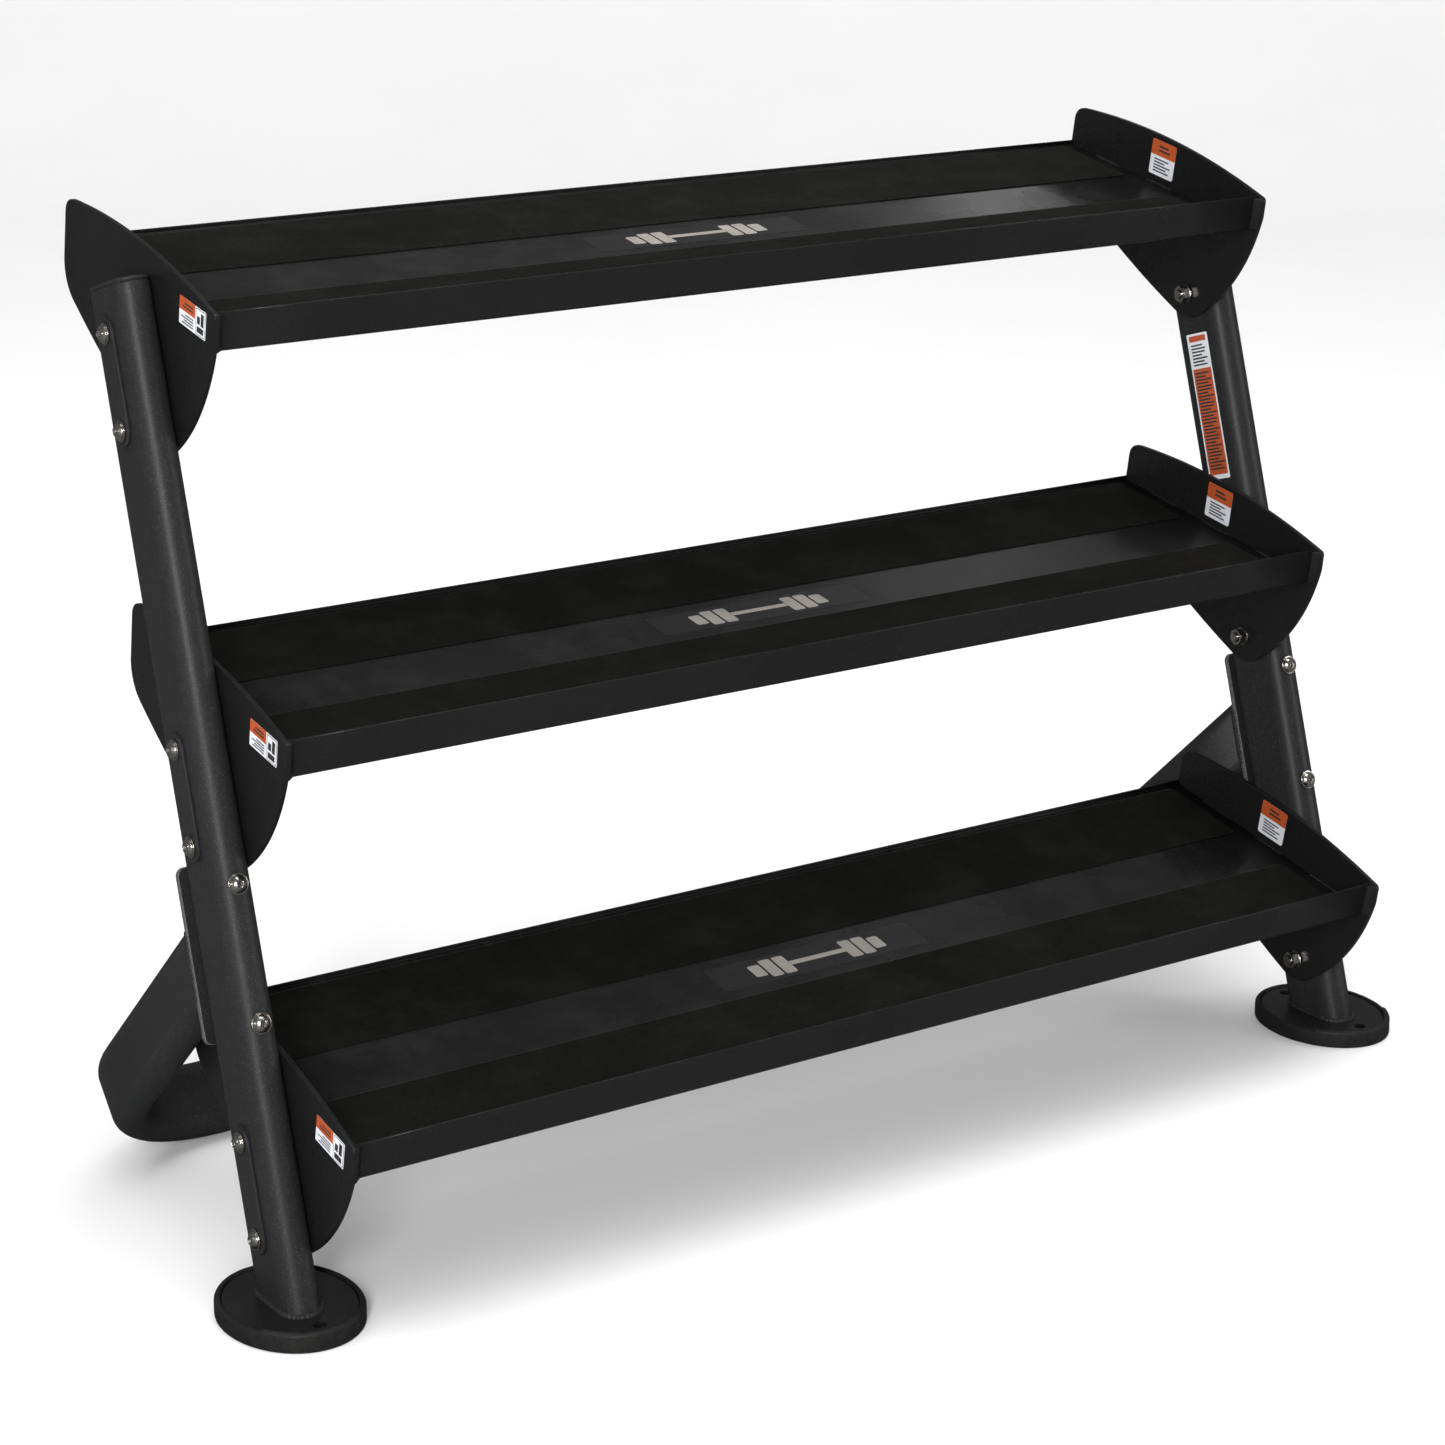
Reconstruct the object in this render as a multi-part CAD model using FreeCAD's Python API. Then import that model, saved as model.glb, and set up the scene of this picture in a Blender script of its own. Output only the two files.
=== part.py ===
import FreeCAD, Part
import math
import os

# Three-tier dumbbell rack, in millimetres.
# +X runs along the shelves, +Y points to the back, +Z is up and the floor is z = 0.
# The finished rack is centred on the origin, which lies on the floor below its middle.

Vector = FreeCAD.Vector

# ---------------------------------------------------------------- driving dimensions
SHELF_LENGTH = 1219.0        # clear length between the two end plates of a shelf
SHELF_DEPTH = 314.0          # front face of the lip to the rear edge, along the shelf
SHELF_SHEET = 2.5            # tray sheet thickness
LIP_HEIGHT = 38.0            # top of the front lip to the underside of the tray
REAR_EDGE_HEIGHT = 7.0       # turned-up rear edge, from the underside of the tray
BEND_INSIDE = 1.5            # inside radius of the sheet bends
LIP_ROUND = 1.0              # rounded edges along the lip's top

TUBE_WIDTH = 38.0            # flat-oval tube, across its flat faces
TUBE_DEPTH = 78.0            # flat-oval tube, across its round edges
TUBE_WALL = 3.0
LEAN = 17.1                  # degrees that the uprights lean back
UPRIGHT_ABOVE = 41.0         # tube beyond its highest bolt, along its axis

FIRST_BOLT = 76.4            # lowest shelf bolt, along the upright's axis from the floor
SHELF_STEPS = (0.0, 359.8, 740.6)      # rise of each shelf's lower bolt along the upright
SHELF_TILTS = (11.3, 9.4, 10.2)        # degrees that each shelf tips back, from the bottom up
SHELF_NAMES = ("bottom", "middle", "top")
LIP_AHEAD = 141.5            # lip ahead of the upright's axis
LIP_BELOW = 6.0              # top of the lip below the upper bolt, along the upright
BOLT_PAIR = 89.0             # spacing of a shelf's two bolts

PLATE_THICKNESS = 5.0        # end plates
PLATE_NOSE = 7.0             # end plate ahead of the lip
NOSE_TOP = 1.0               # upper end of its straight nose below the lip
NOSE_FOOT = 22.0             # lower end of its straight nose below the lip
NOSE_RAKE = 0.5              # lower end ahead of the upper end
PLATE_REAR = 8.0             # rear corner of the end plate above the lip
PLATE_DROP = 75.0            # lower end of the rear edge below the lip
TIP_DROP = 169.0             # lowest corner of the end plate below the lip, before rounding
TIP_BACK = 80.0              # the same corner behind the lip
TOP_ARCH = 14.0              # rise of its arched top edge off the chord
UNDERSIDE_ARCH = 7.0         # the same for its slanted underside
FRONT_ARCH = 17.5            # the same for its front edge, below the nose
NOSE_ROUND = 5.0             # corner radii of the end plate
REAR_ROUND = 15.0
HEEL_ROUND = 42.0
TIP_ROUND = 36.0

MAT_THICKNESS = 1.5
BARE_STRIP = 76.0            # painted strip between the two mats, front to back
MAT_END_GAP = 16.0           # from the end plate
MAT_FRONT_GAP = 6.0          # from the lip's inside face
MAT_REAR_GAP = 7.0           # from the turned-up rear edge's inside face
MAT_CORNER = 6.0

BOLT_SIZE = 10.0             # M10 fasteners
BOLT_CLEARANCE = 0.5         # radial, in every plain hole
HEAD_DIAMETER = 17.5
HEAD_HEIGHT = 5.5
SOCKET_ACROSS = 6.0
SOCKET_DEPTH = 3.2
HEAD_FLAT = 0.5              # cut off the top of the head's dome
WASHER_DIAMETER = 20.0
WASHER_THICKNESS = 2.0
WASHER_EDGE = 0.4            # rounding of its outer rim
NUT_ACROSS = 17.0
NUT_HEIGHT = 8.4
NUT_CHAMFER = 0.6            # how far the chamfer cuts into the nut's flats
BOLT_PROUD = 2.0             # bolt end beyond its nut

STRIP_INSET = 5.0            # doubler strips inside the edges of the tube's flat face
STRIP_END = 15.0             # doubler strips beyond each bolt
STRIP_THICKNESS = 3.0

CAP_THICKNESS = 4.5
CAP_ROUND = 1.5              # rounding of the lid's upper rim
CAP_PLUG = 15.0
PLUG_CLEARANCE = 0.3

PAD_BESIDE = 46.5            # elliptical rubber foot beyond the tube's flat faces
PAD_BEYOND = 42.0            # and beyond its round edges, front and back
PAD_HEIGHT = 17.0
PAD_RIM = 6.0
PAD_FLOOR = 9.0              # rubber under the base plate
PAD_TOP_ROUND = 4.0
PAD_FOOT_ROUND = 2.0
BASE_THICKNESS = 6.0         # steel plate in the foot
BASE_CLEARANCE = 0.5
BASE_EDGE = 1.0              # rounding of the plate's upper rim
FOOT_BACK = 3.0              # foot centre behind the upright's axis at the floor
ANCHOR_BEYOND = 20.0         # floor anchor holes beyond the tube's section, front and back
ANCHOR_DIAMETER = 12.5

BRACKET_LEDGE = 1.0          # plate behind each upright, beyond the sides of the rear leg
BRACKET_GAP = 1.5            # between that plate and the end plates
BRACKET_THICKNESS = 6.0
BRACKET_MARGIN = 19.0        # beyond each of its bolts
BRACKET_CORNER = 8.0
BRACKET_BOLT = 270.6         # its lower bolt, along the upright's axis from the floor
BRACKET_PAIR = 127.0         # spacing of its two bolts
TAPPED_CLEARANCE = 0.05      # radial, standing in for the thread

LEG_SLOPE = 47.3             # degrees between the rear legs and the vertical
LEG_JOIN = 325.0             # middle of the leg's weld, along the upright's axis
LEG_BEND = 122.0             # centreline radius of the rear frame's two bends

LABEL_THICKNESS = 0.25
DECAL_LENGTH = 250.0
DECAL_WIDTH = 44.0
DECAL_CORNER = 5.0
OUTER_LABEL = (10.0, 63.0, -30.0, -4.0)      # front, rear, low and high, from the lip's top
INNER_LABEL = (138.0, 178.0, -27.0, 12.0)
TALL_LABEL_WIDTH = 34.0
TALL_LABEL_LAP = 15.0        # its lower end below the middle end plate's top, before trimming
TALL_LABEL_BELOW = 45.0      # its upper end below the top shelf's lower bolt

# ---------------------------------------------------------------- derived sizes and places
UPRIGHT_LENGTH = FIRST_BOLT + SHELF_STEPS[-1] + BOLT_PAIR + UPRIGHT_ABOVE
MAT_WIDTH = (SHELF_DEPTH - 2 * SHELF_SHEET - MAT_FRONT_GAP - MAT_REAR_GAP - BARE_STRIP) / 2
STRIP_WIDTH = TUBE_DEPTH - TUBE_WIDTH - 2 * STRIP_INSET
PAD_WIDTH = TUBE_WIDTH + 2 * PAD_BESIDE
PAD_LENGTH = TUBE_DEPTH + 2 * PAD_BEYOND
ANCHOR_SPACING = TUBE_DEPTH + 2 * ANCHOR_BEYOND
BRACKET_WIDTH = TUBE_WIDTH + 2 * BRACKET_LEDGE
PLATE_INSIDE = SHELF_LENGTH / 2
PLATE_OUTSIDE = PLATE_INSIDE + PLATE_THICKNESS
TUBE_X = PLATE_OUTSIDE + TUBE_WIDTH / 2
TUBE_OUTSIDE = PLATE_OUTSIDE + TUBE_WIDTH
TRAY_FLOOR = SHELF_SHEET - LIP_HEIGHT
BOLT_RADIUS = BOLT_SIZE / 2
HOLE_RADIUS = BOLT_RADIUS + BOLT_CLEARANCE
BASE_TOP = PAD_FLOOR + BASE_THICKNESS
BRACKET_BACK = TUBE_DEPTH / 2 + BRACKET_THICKNESS
LEG_X = PLATE_OUTSIDE + BRACKET_GAP + BRACKET_WIDTH / 2
RUN_Z = (TUBE_DEPTH - TUBE_WIDTH) / 2 * math.sin(math.radians(LEG_SLOPE)) + TUBE_WIDTH / 2

X_AXIS = Vector(1, 0, 0)
Y_AXIS = Vector(0, 1, 0)
Z_AXIS = Vector(0, 0, 1)
PAST = 1.0                   # how far a cutting shape reaches past the surface it cuts


# ---------------------------------------------------------------- frames of reference
def upright_frame():
    """Frame on the upright's axis: its z climbs the axis and its y points back from it."""
    return FreeCAD.Placement(Vector(0, 0, 0), FreeCAD.Rotation(X_AXIS, -LEAN))


def shelf_bolt(step):
    """Height of a shelf's lower bolt along the upright's axis."""
    return FIRST_BOLT + step


def shelf_frame(step, tilt):
    """Frame at the top of a shelf's lip: y runs back along the shelf, z stands on it."""
    lip = Vector(0, -LIP_AHEAD, shelf_bolt(step) + BOLT_PAIR - LIP_BELOW)
    return FreeCAD.Placement(upright_frame().multVec(lip), FreeCAD.Rotation(X_AXIS, tilt))


def leg_frame():
    """Frame of the rear frame's plane: z climbs the legs, x runs along the floor tube."""
    join = upright_frame().multVec(Vector(0, BRACKET_BACK, LEG_JOIN))
    run_y = join.y + (join.z - RUN_Z) * math.tan(math.radians(LEG_SLOPE))
    return FreeCAD.Placement(Vector(0, run_y, RUN_Z), FreeCAD.Rotation(X_AXIS, LEG_SLOPE))


def placed(shape, frame):
    """The shape carried from a local frame into the rack's frame."""
    moved = shape.copy()
    moved.Placement = frame.multiply(moved.Placement)
    return moved


def mirrored(shape):
    """The shape's mirror image across the rack's middle plane."""
    return shape.mirror(Vector(0, 0, 0), X_AXIS)


# ---------------------------------------------------------------- shared shapes
def obround_face(width, length):
    """Flat oval in the XY plane: two straight sides joined by half circles, width along X."""
    r = width / 2
    s = (length - width) / 2
    edges = [
        Part.LineSegment(Vector(r, -s, 0), Vector(r, s, 0)).toShape(),
        Part.Arc(Vector(r, s, 0), Vector(0, s + r, 0), Vector(-r, s, 0)).toShape(),
        Part.LineSegment(Vector(-r, s, 0), Vector(-r, -s, 0)).toShape(),
        Part.Arc(Vector(-r, -s, 0), Vector(0, -s - r, 0), Vector(r, -s, 0)).toShape(),
    ]
    return Part.Face(Part.Wire(edges))


def obround(width, length, low, high):
    """Upright flat-oval bar between two heights."""
    face = obround_face(width, length)
    face.translate(Vector(0, 0, low))
    return face.extrude(Vector(0, 0, high - low))


def ellipse_bar(width, length, low, high):
    """Upright elliptical bar between two heights, its longer axis along Y."""
    curve = Part.Ellipse(Vector(0, 0, low), length / 2, width / 2)
    face = Part.Face(Part.Wire([curve.toShape()]))
    face.rotate(Vector(0, 0, 0), Z_AXIS, 90)
    return face.extrude(Vector(0, 0, high - low))


def hexagon_prism(across, height):
    """Hexagonal bar on the XY plane, measured across its flats."""
    reach = across / math.sqrt(3)
    corners = []
    for i in range(7):
        angle = math.radians(60 * i)
        corners.append(Vector(reach * math.cos(angle), reach * math.sin(angle), 0))
    return Part.Face(Part.makePolygon(corners)).extrude(Vector(0, 0, height))


def box_between(low, high):
    """Box from its lowest corner to its highest corner."""
    size = high - low
    return Part.makeBox(size.x, size.y, size.z, low)


def round_edges(solid, direction, corners):
    """Round the edges that run along a direction through the given (point, radius) pairs."""
    for point, radius in corners:
        chosen = []
        for edge in solid.Edges:
            if edge.Curve.TypeId != "Part::GeomLine":
                continue
            along = edge.tangentAt(edge.FirstParameter)
            if abs(along.dot(direction)) < 0.999:
                continue
            offset = edge.CenterOfMass - point
            across = offset - direction * offset.dot(direction)
            if across.Length < 0.01:
                chosen.append(edge)
        solid = solid.makeFillet(radius, chosen)
    return solid


def round_flat_rim(solid, height, radius):
    """Round every edge that lies flat at a height."""
    rim = []
    for edge in solid.Edges:
        box = edge.BoundBox
        if abs(box.ZMin - height) < 0.001 and abs(box.ZMax - height) < 0.001:
            rim.append(edge)
    return solid.makeFillet(radius, rim)


def extrude_profile(edges, start, length):
    """Solid from a closed outline in a plane of constant x."""
    face = Part.Face(Part.Wire(edges))
    face.translate(Vector(start, 0, 0))
    return face.extrude(Vector(length, 0, 0))


def line(a, b):
    """Straight edge between two (y, z) points."""
    return Part.LineSegment(Vector(0, *a), Vector(0, *b)).toShape()


def arched(a, b, rise):
    """Round edge between two (y, z) points, its middle a rise to the left of the chord."""
    along = Vector(0, b[0] - a[0], b[1] - a[1]).normalize()
    middle = Vector(0, a[0] + b[0], a[1] + b[1]) / 2 + X_AXIS.cross(along) * rise
    return Part.Arc(Vector(0, *a), middle, Vector(0, *b)).toShape()


# ---------------------------------------------------------------- shelves
def shelf_tray():
    """Bent sheet tray: tall front lip, flat floor and a low turned-up rear edge."""
    t = SHELF_SHEET
    outline = [
        (0, 0),
        (0, -LIP_HEIGHT),
        (SHELF_DEPTH, -LIP_HEIGHT),
        (SHELF_DEPTH, REAR_EDGE_HEIGHT - LIP_HEIGHT),
        (SHELF_DEPTH - t, REAR_EDGE_HEIGHT - LIP_HEIGHT),
        (SHELF_DEPTH - t, TRAY_FLOOR),
        (t, TRAY_FLOOR),
        (t, 0),
    ]
    edges = []
    for i, point in enumerate(outline):
        edges.append(line(point, outline[(i + 1) % len(outline)]))
    tray = extrude_profile(edges, -PLATE_INSIDE, SHELF_LENGTH)
    outside = BEND_INSIDE + t
    corners = [
        (Vector(0, 0, -LIP_HEIGHT), outside),
        (Vector(0, SHELF_DEPTH, -LIP_HEIGHT), outside),
        (Vector(0, SHELF_DEPTH - t, TRAY_FLOOR), BEND_INSIDE),
        (Vector(0, t, TRAY_FLOOR), BEND_INSIDE),
        (Vector(0, 0, 0), LIP_ROUND),
        (Vector(0, t, 0), LIP_ROUND),
    ]
    return round_edges(tray, X_AXIS, corners)


def bolt_in_shelf(height, tilt):
    """A bolt's place in the shelf frame, from its height above the shelf's lower bolt."""
    turn = math.radians(LEAN + tilt)
    rise = height - (BOLT_PAIR - LIP_BELOW)
    y = LIP_AHEAD * math.cos(turn) + rise * math.sin(turn)
    z = rise * math.cos(turn) - LIP_AHEAD * math.sin(turn)
    return Vector(0, y, z)


def end_plate(tilt):
    """Right-hand end plate: arched top, round rear, slanted underside and bowed nose."""
    nose = (-PLATE_NOSE, -NOSE_TOP)
    front = (-PLATE_NOSE - NOSE_RAKE, -NOSE_FOOT)
    rear = (SHELF_DEPTH, PLATE_REAR)
    heel = (SHELF_DEPTH, -PLATE_DROP)
    tip = (TIP_BACK, -TIP_DROP)
    edges = [
        arched(nose, rear, TOP_ARCH),
        line(rear, heel),
        arched(heel, tip, UNDERSIDE_ARCH),
        arched(tip, front, FRONT_ARCH),
        line(front, nose),
    ]
    plate = extrude_profile(edges, PLATE_INSIDE, PLATE_THICKNESS)
    corners = [
        (Vector(0, *nose), NOSE_ROUND),
        (Vector(0, *rear), REAR_ROUND),
        (Vector(0, *heel), HEEL_ROUND),
        (Vector(0, *tip), TIP_ROUND),
    ]
    plate = round_edges(plate, X_AXIS, corners)
    for height in (0.0, BOLT_PAIR):
        centre = bolt_in_shelf(height, tilt)
        centre.x = PLATE_INSIDE - PAST
        plate = plate.cut(Part.makeCylinder(HOLE_RADIUS, PLATE_THICKNESS + 2 * PAST, centre, X_AXIS))
    return plate


def mat_spans():
    """Front and rear limits of the two mats, along the shelf."""
    front = SHELF_SHEET + MAT_FRONT_GAP
    rear = SHELF_DEPTH - SHELF_SHEET - MAT_REAR_GAP
    return (("front", front, front + MAT_WIDTH), ("rear", rear - MAT_WIDTH, rear))


def flat_sheet(x_low, x_high, y_low, y_high, z_low, thickness, corner):
    """Thin flat rectangle lying on a shelf, with rounded corners."""
    low = Vector(x_low, y_low, z_low)
    high = Vector(x_high, y_high, z_low + thickness)
    corners = []
    for x in (x_low, x_high):
        for y in (y_low, y_high):
            corners.append((Vector(x, y, z_low), corner))
    return round_edges(box_between(low, high), Z_AXIS, corners)


def shelf_mat(front, rear):
    """Rubber mat stuck to the tray floor."""
    reach = PLATE_INSIDE - MAT_END_GAP
    return flat_sheet(-reach, reach, front, rear, TRAY_FLOOR, MAT_THICKNESS, MAT_CORNER)


def shelf_decal():
    """Blank badge on the bare strip between the mats."""
    spans = mat_spans()
    middle = (spans[0][2] + spans[1][1]) / 2
    half = DECAL_LENGTH / 2
    low = middle - DECAL_WIDTH / 2
    high = middle + DECAL_WIDTH / 2
    return flat_sheet(-half, half, low, high, TRAY_FLOOR, LABEL_THICKNESS, DECAL_CORNER)


# ---------------------------------------------------------------- uprights and feet
def upright_holes():
    """Right upright's bolt holes: through its flats for the shelves, front to back below."""
    holes = []
    for step in SHELF_STEPS:
        for height in (0.0, BOLT_PAIR):
            centre = Vector(PLATE_OUTSIDE - PAST, 0, shelf_bolt(step) + height)
            holes.append(Part.makeCylinder(HOLE_RADIUS, TUBE_WIDTH + 2 * PAST, centre, X_AXIS))
    for height in bracket_bolts():
        centre = Vector(TUBE_X, -TUBE_DEPTH, height)
        holes.append(Part.makeCylinder(HOLE_RADIUS, 2 * TUBE_DEPTH, centre, Y_AXIS))
    return Part.makeCompound(holes)


def upright_tube():
    """Right upright: hollow flat-oval tube, cut level where it stands on its base plate."""
    below = -TUBE_DEPTH
    bore_width = TUBE_WIDTH - 2 * TUBE_WALL
    bore_depth = TUBE_DEPTH - 2 * TUBE_WALL
    outer = obround(TUBE_WIDTH, TUBE_DEPTH, below, UPRIGHT_LENGTH)
    tube = outer.cut(obround(bore_width, bore_depth, below - PAST, UPRIGHT_LENGTH + PAST))
    tube.translate(Vector(TUBE_X, 0, 0))
    tube = placed(tube.cut(upright_holes()), upright_frame())
    reach = 2 * TUBE_DEPTH
    ground = box_between(Vector(TUBE_X - reach, -reach, -reach), Vector(TUBE_X + reach, reach, BASE_TOP))
    return tube.cut(ground)


def top_cap():
    """Cap on the right upright: thin flat-oval lid with a plug inside the tube."""
    top = UPRIGHT_LENGTH + CAP_THICKNESS
    lid = obround(TUBE_WIDTH, TUBE_DEPTH, UPRIGHT_LENGTH, top)
    lid = round_flat_rim(lid, top, CAP_ROUND)
    inset = 2 * (TUBE_WALL + PLUG_CLEARANCE)
    plug = obround(TUBE_WIDTH - inset, TUBE_DEPTH - inset, UPRIGHT_LENGTH - CAP_PLUG, UPRIGHT_LENGTH)
    cap = lid.fuse(plug).removeSplitter()
    cap.translate(Vector(TUBE_X, 0, 0))
    return placed(cap, upright_frame())


def anchor_holes(radius):
    """Right foot's two floor anchor holes."""
    holes = []
    for side in (-1, 1):
        centre = Vector(TUBE_X, FOOT_BACK + side * ANCHOR_SPACING / 2, -PAST)
        holes.append(Part.makeCylinder(radius, BASE_TOP + 2 * PAST, centre, Z_AXIS))
    return Part.makeCompound(holes)


def base_plate():
    """Right steel base plate, lying in the rubber foot's recess."""
    inset = 2 * (PAD_RIM + BASE_CLEARANCE)
    plate = ellipse_bar(PAD_WIDTH - inset, PAD_LENGTH - inset, PAD_FLOOR, BASE_TOP)
    plate = round_flat_rim(plate, BASE_TOP, BASE_EDGE)
    plate.translate(Vector(TUBE_X, FOOT_BACK, 0))
    return plate.cut(anchor_holes(ANCHOR_DIAMETER / 2))


def foot_pad():
    """Right rubber foot: elliptical dish with a rounded rim standing round the base plate."""
    pad = ellipse_bar(PAD_WIDTH, PAD_LENGTH, 0, PAD_HEIGHT)
    pad = round_flat_rim(pad, PAD_HEIGHT, PAD_TOP_ROUND)
    pad = round_flat_rim(pad, 0, PAD_FOOT_ROUND)
    recess_width = PAD_WIDTH - 2 * PAD_RIM
    recess_length = PAD_LENGTH - 2 * PAD_RIM
    pad = pad.cut(ellipse_bar(recess_width, recess_length, PAD_FLOOR, PAD_HEIGHT + PAST))
    pad.translate(Vector(TUBE_X, FOOT_BACK, 0))
    return pad.cut(anchor_holes(ANCHOR_DIAMETER / 2 + BASE_CLEARANCE))


# ---------------------------------------------------------------- rear frame
def bracket_bolts():
    """Heights of the bracket's two bolts along the upright's axis."""
    return (BRACKET_BOLT, BRACKET_BOLT + BRACKET_PAIR)


def rear_bracket():
    """Right bracket plate: flat against the back of the upright, tapped for two bolts."""
    low, high = bracket_bolts()
    inner = PLATE_OUTSIDE + BRACKET_GAP
    near = Vector(inner, TUBE_DEPTH / 2, low - BRACKET_MARGIN)
    far = Vector(inner + BRACKET_WIDTH, BRACKET_BACK, high + BRACKET_MARGIN)
    corners = []
    for x in (near.x, far.x):
        for z in (near.z, far.z):
            corners.append((Vector(x, 0, z), BRACKET_CORNER))
    plate = round_edges(box_between(near, far), Y_AXIS, corners)
    for height in bracket_bolts():
        centre = Vector(TUBE_X, TUBE_DEPTH / 2 - PAST, height)
        radius = BOLT_RADIUS + TAPPED_CLEARANCE
        plate = plate.cut(Part.makeCylinder(radius, BRACKET_THICKNESS + 2 * PAST, centre, Y_AXIS))
    return placed(plate, upright_frame())


def half_rear_frame(width, depth):
    """Solid right half of the rear frame: sloping leg, wide bend and half the floor tube."""
    section = obround_face(width, depth)
    section.translate(Vector(LEG_X, 0, LEG_BEND))
    leg = section.extrude(Vector(0, 0, 2 * LEG_JOIN))
    centre = Vector(LEG_X - LEG_BEND, 0, LEG_BEND)
    bend = section.revolve(centre, Y_AXIS, 90)
    run_section = section.copy()
    run_section.rotate(centre, Y_AXIS, 90)
    run = run_section.extrude(Vector(LEG_BEND - LEG_X, 0, 0))
    return leg.fuse([bend, run])


def rear_frame():
    """One bent flat-oval tube: down both sloping legs and along the floor behind the rack."""
    whole = []
    for wall in (0.0, 2 * TUBE_WALL):
        half = half_rear_frame(TUBE_WIDTH - wall, TUBE_DEPTH - wall)
        whole.append(half.fuse(mirrored(half)).removeSplitter())
    tube = placed(whole[0].cut(whole[1]), leg_frame())
    reach = 2 * UPRIGHT_LENGTH
    ahead = box_between(Vector(-reach, -reach, -reach), Vector(reach, BRACKET_BACK, reach))
    return tube.cut(placed(ahead, upright_frame()))


# ---------------------------------------------------------------- fasteners
def button_head_bolt(shank):
    """Bolt with its head's underside on z = 0: domed head up, hexagon socket, shank down."""
    dome = math.hypot(HEAD_DIAMETER / 2, HEAD_HEIGHT)
    sphere_radius = dome ** 2 / (2 * HEAD_HEIGHT)
    sphere = Part.makeSphere(sphere_radius, Vector(0, 0, HEAD_HEIGHT - sphere_radius))
    top = HEAD_HEIGHT - HEAD_FLAT
    head = sphere.common(Part.makeCylinder(HEAD_DIAMETER / 2, top))
    socket = hexagon_prism(SOCKET_ACROSS, SOCKET_DEPTH + PAST)
    socket.translate(Vector(0, 0, top - SOCKET_DEPTH))
    head = head.cut(socket)
    return head.fuse(Part.makeCylinder(BOLT_RADIUS, shank, Vector(0, 0, -shank))).removeSplitter()


def washer():
    """Plain washer on z = 0."""
    ring = Part.makeCylinder(WASHER_DIAMETER / 2, WASHER_THICKNESS)
    ring = round_flat_rim(ring, WASHER_THICKNESS, WASHER_EDGE)
    return ring.cut(Part.makeCylinder(HOLE_RADIUS, WASHER_THICKNESS))


def nut():
    """Hexagon nut on z = 0, its outer corners chamfered to a cone."""
    body = hexagon_prism(NUT_ACROSS, NUT_HEIGHT)
    tip = NUT_ACROSS / 2 - NUT_CHAMFER
    cone = Part.makeCone(tip + 2 * NUT_HEIGHT, tip, 2 * NUT_HEIGHT)
    cone.translate(Vector(0, 0, -NUT_HEIGHT))
    bore = Part.makeCylinder(BOLT_RADIUS + TAPPED_CLEARANCE, NUT_HEIGHT)
    return body.common(cone).cut(bore)


def turned(shape, direction):
    """The shape turned so that its z axis points along a direction, in the upright's frame."""
    frame = FreeCAD.Placement(Vector(0, 0, 0), FreeCAD.Rotation(Z_AXIS, direction))
    return placed(shape, frame)


def on_side_bolts(shape, x, direction):
    """Copies of a fastener at all the right upright's shelf bolts, seated at x."""
    copies = []
    for step in SHELF_STEPS:
        for height in (0.0, BOLT_PAIR):
            copy = turned(shape, direction)
            copy.translate(Vector(x, 0, shelf_bolt(step) + height))
            copies.append(placed(copy, upright_frame()))
    return copies


def on_front_bolts(shape, seat):
    """Copies of a fastener at the right upright's two front bolts."""
    copies = []
    for height in bracket_bolts():
        copy = turned(shape, Vector(0, -1, 0))
        copy.translate(Vector(TUBE_X, -seat, height))
        copies.append(placed(copy, upright_frame()))
    return copies


def both_sides(copies):
    """One node of separate solids: the given ones and their mirror images."""
    return Part.makeCompound(copies + [mirrored(copy) for copy in copies])


def side_fasteners():
    """Bolts, washers and nuts that hold the shelves, in four nodes."""
    seat = TUBE_OUTSIDE + STRIP_THICKNESS
    grip = seat + 2 * WASHER_THICKNESS - PLATE_INSIDE
    bolt = button_head_bolt(grip + NUT_HEIGHT + BOLT_PROUD)
    inward = Vector(-1, 0, 0)
    return {
        "shelf_bolts": both_sides(on_side_bolts(bolt, seat + WASHER_THICKNESS, X_AXIS)),
        "shelf_bolt_outer_washers": both_sides(on_side_bolts(washer(), seat, X_AXIS)),
        "shelf_bolt_inner_washers": both_sides(on_side_bolts(washer(), PLATE_INSIDE, inward)),
        "shelf_bolt_nuts": both_sides(on_side_bolts(nut(), PLATE_INSIDE - WASHER_THICKNESS, inward)),
    }


def front_fasteners():
    """Bolts and washers that hold the rear frame's brackets, in two nodes."""
    seat = TUBE_DEPTH / 2
    bolt = button_head_bolt(seat + WASHER_THICKNESS + BRACKET_BACK)
    return {
        "bracket_bolts": both_sides(on_front_bolts(bolt, seat + WASHER_THICKNESS)),
        "bracket_bolt_washers": both_sides(on_front_bolts(washer(), seat)),
    }


def doubler_strip(step):
    """Right doubler strip: flat oval on the upright's outer face under two bolts."""
    strip = obround(STRIP_WIDTH, BOLT_PAIR + 2 * STRIP_END, 0, STRIP_THICKNESS)
    for side in (-1, 1):
        centre = Vector(0, side * BOLT_PAIR / 2, -PAST)
        strip = strip.cut(Part.makeCylinder(HOLE_RADIUS, STRIP_THICKNESS + 2 * PAST, centre))
    strip.rotate(Vector(0, 0, 0), Y_AXIS, 90)
    strip.rotate(Vector(0, 0, 0), X_AXIS, 90)
    strip.translate(Vector(TUBE_OUTSIDE, 0, shelf_bolt(step) + BOLT_PAIR / 2))
    return placed(strip, upright_frame())


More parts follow.
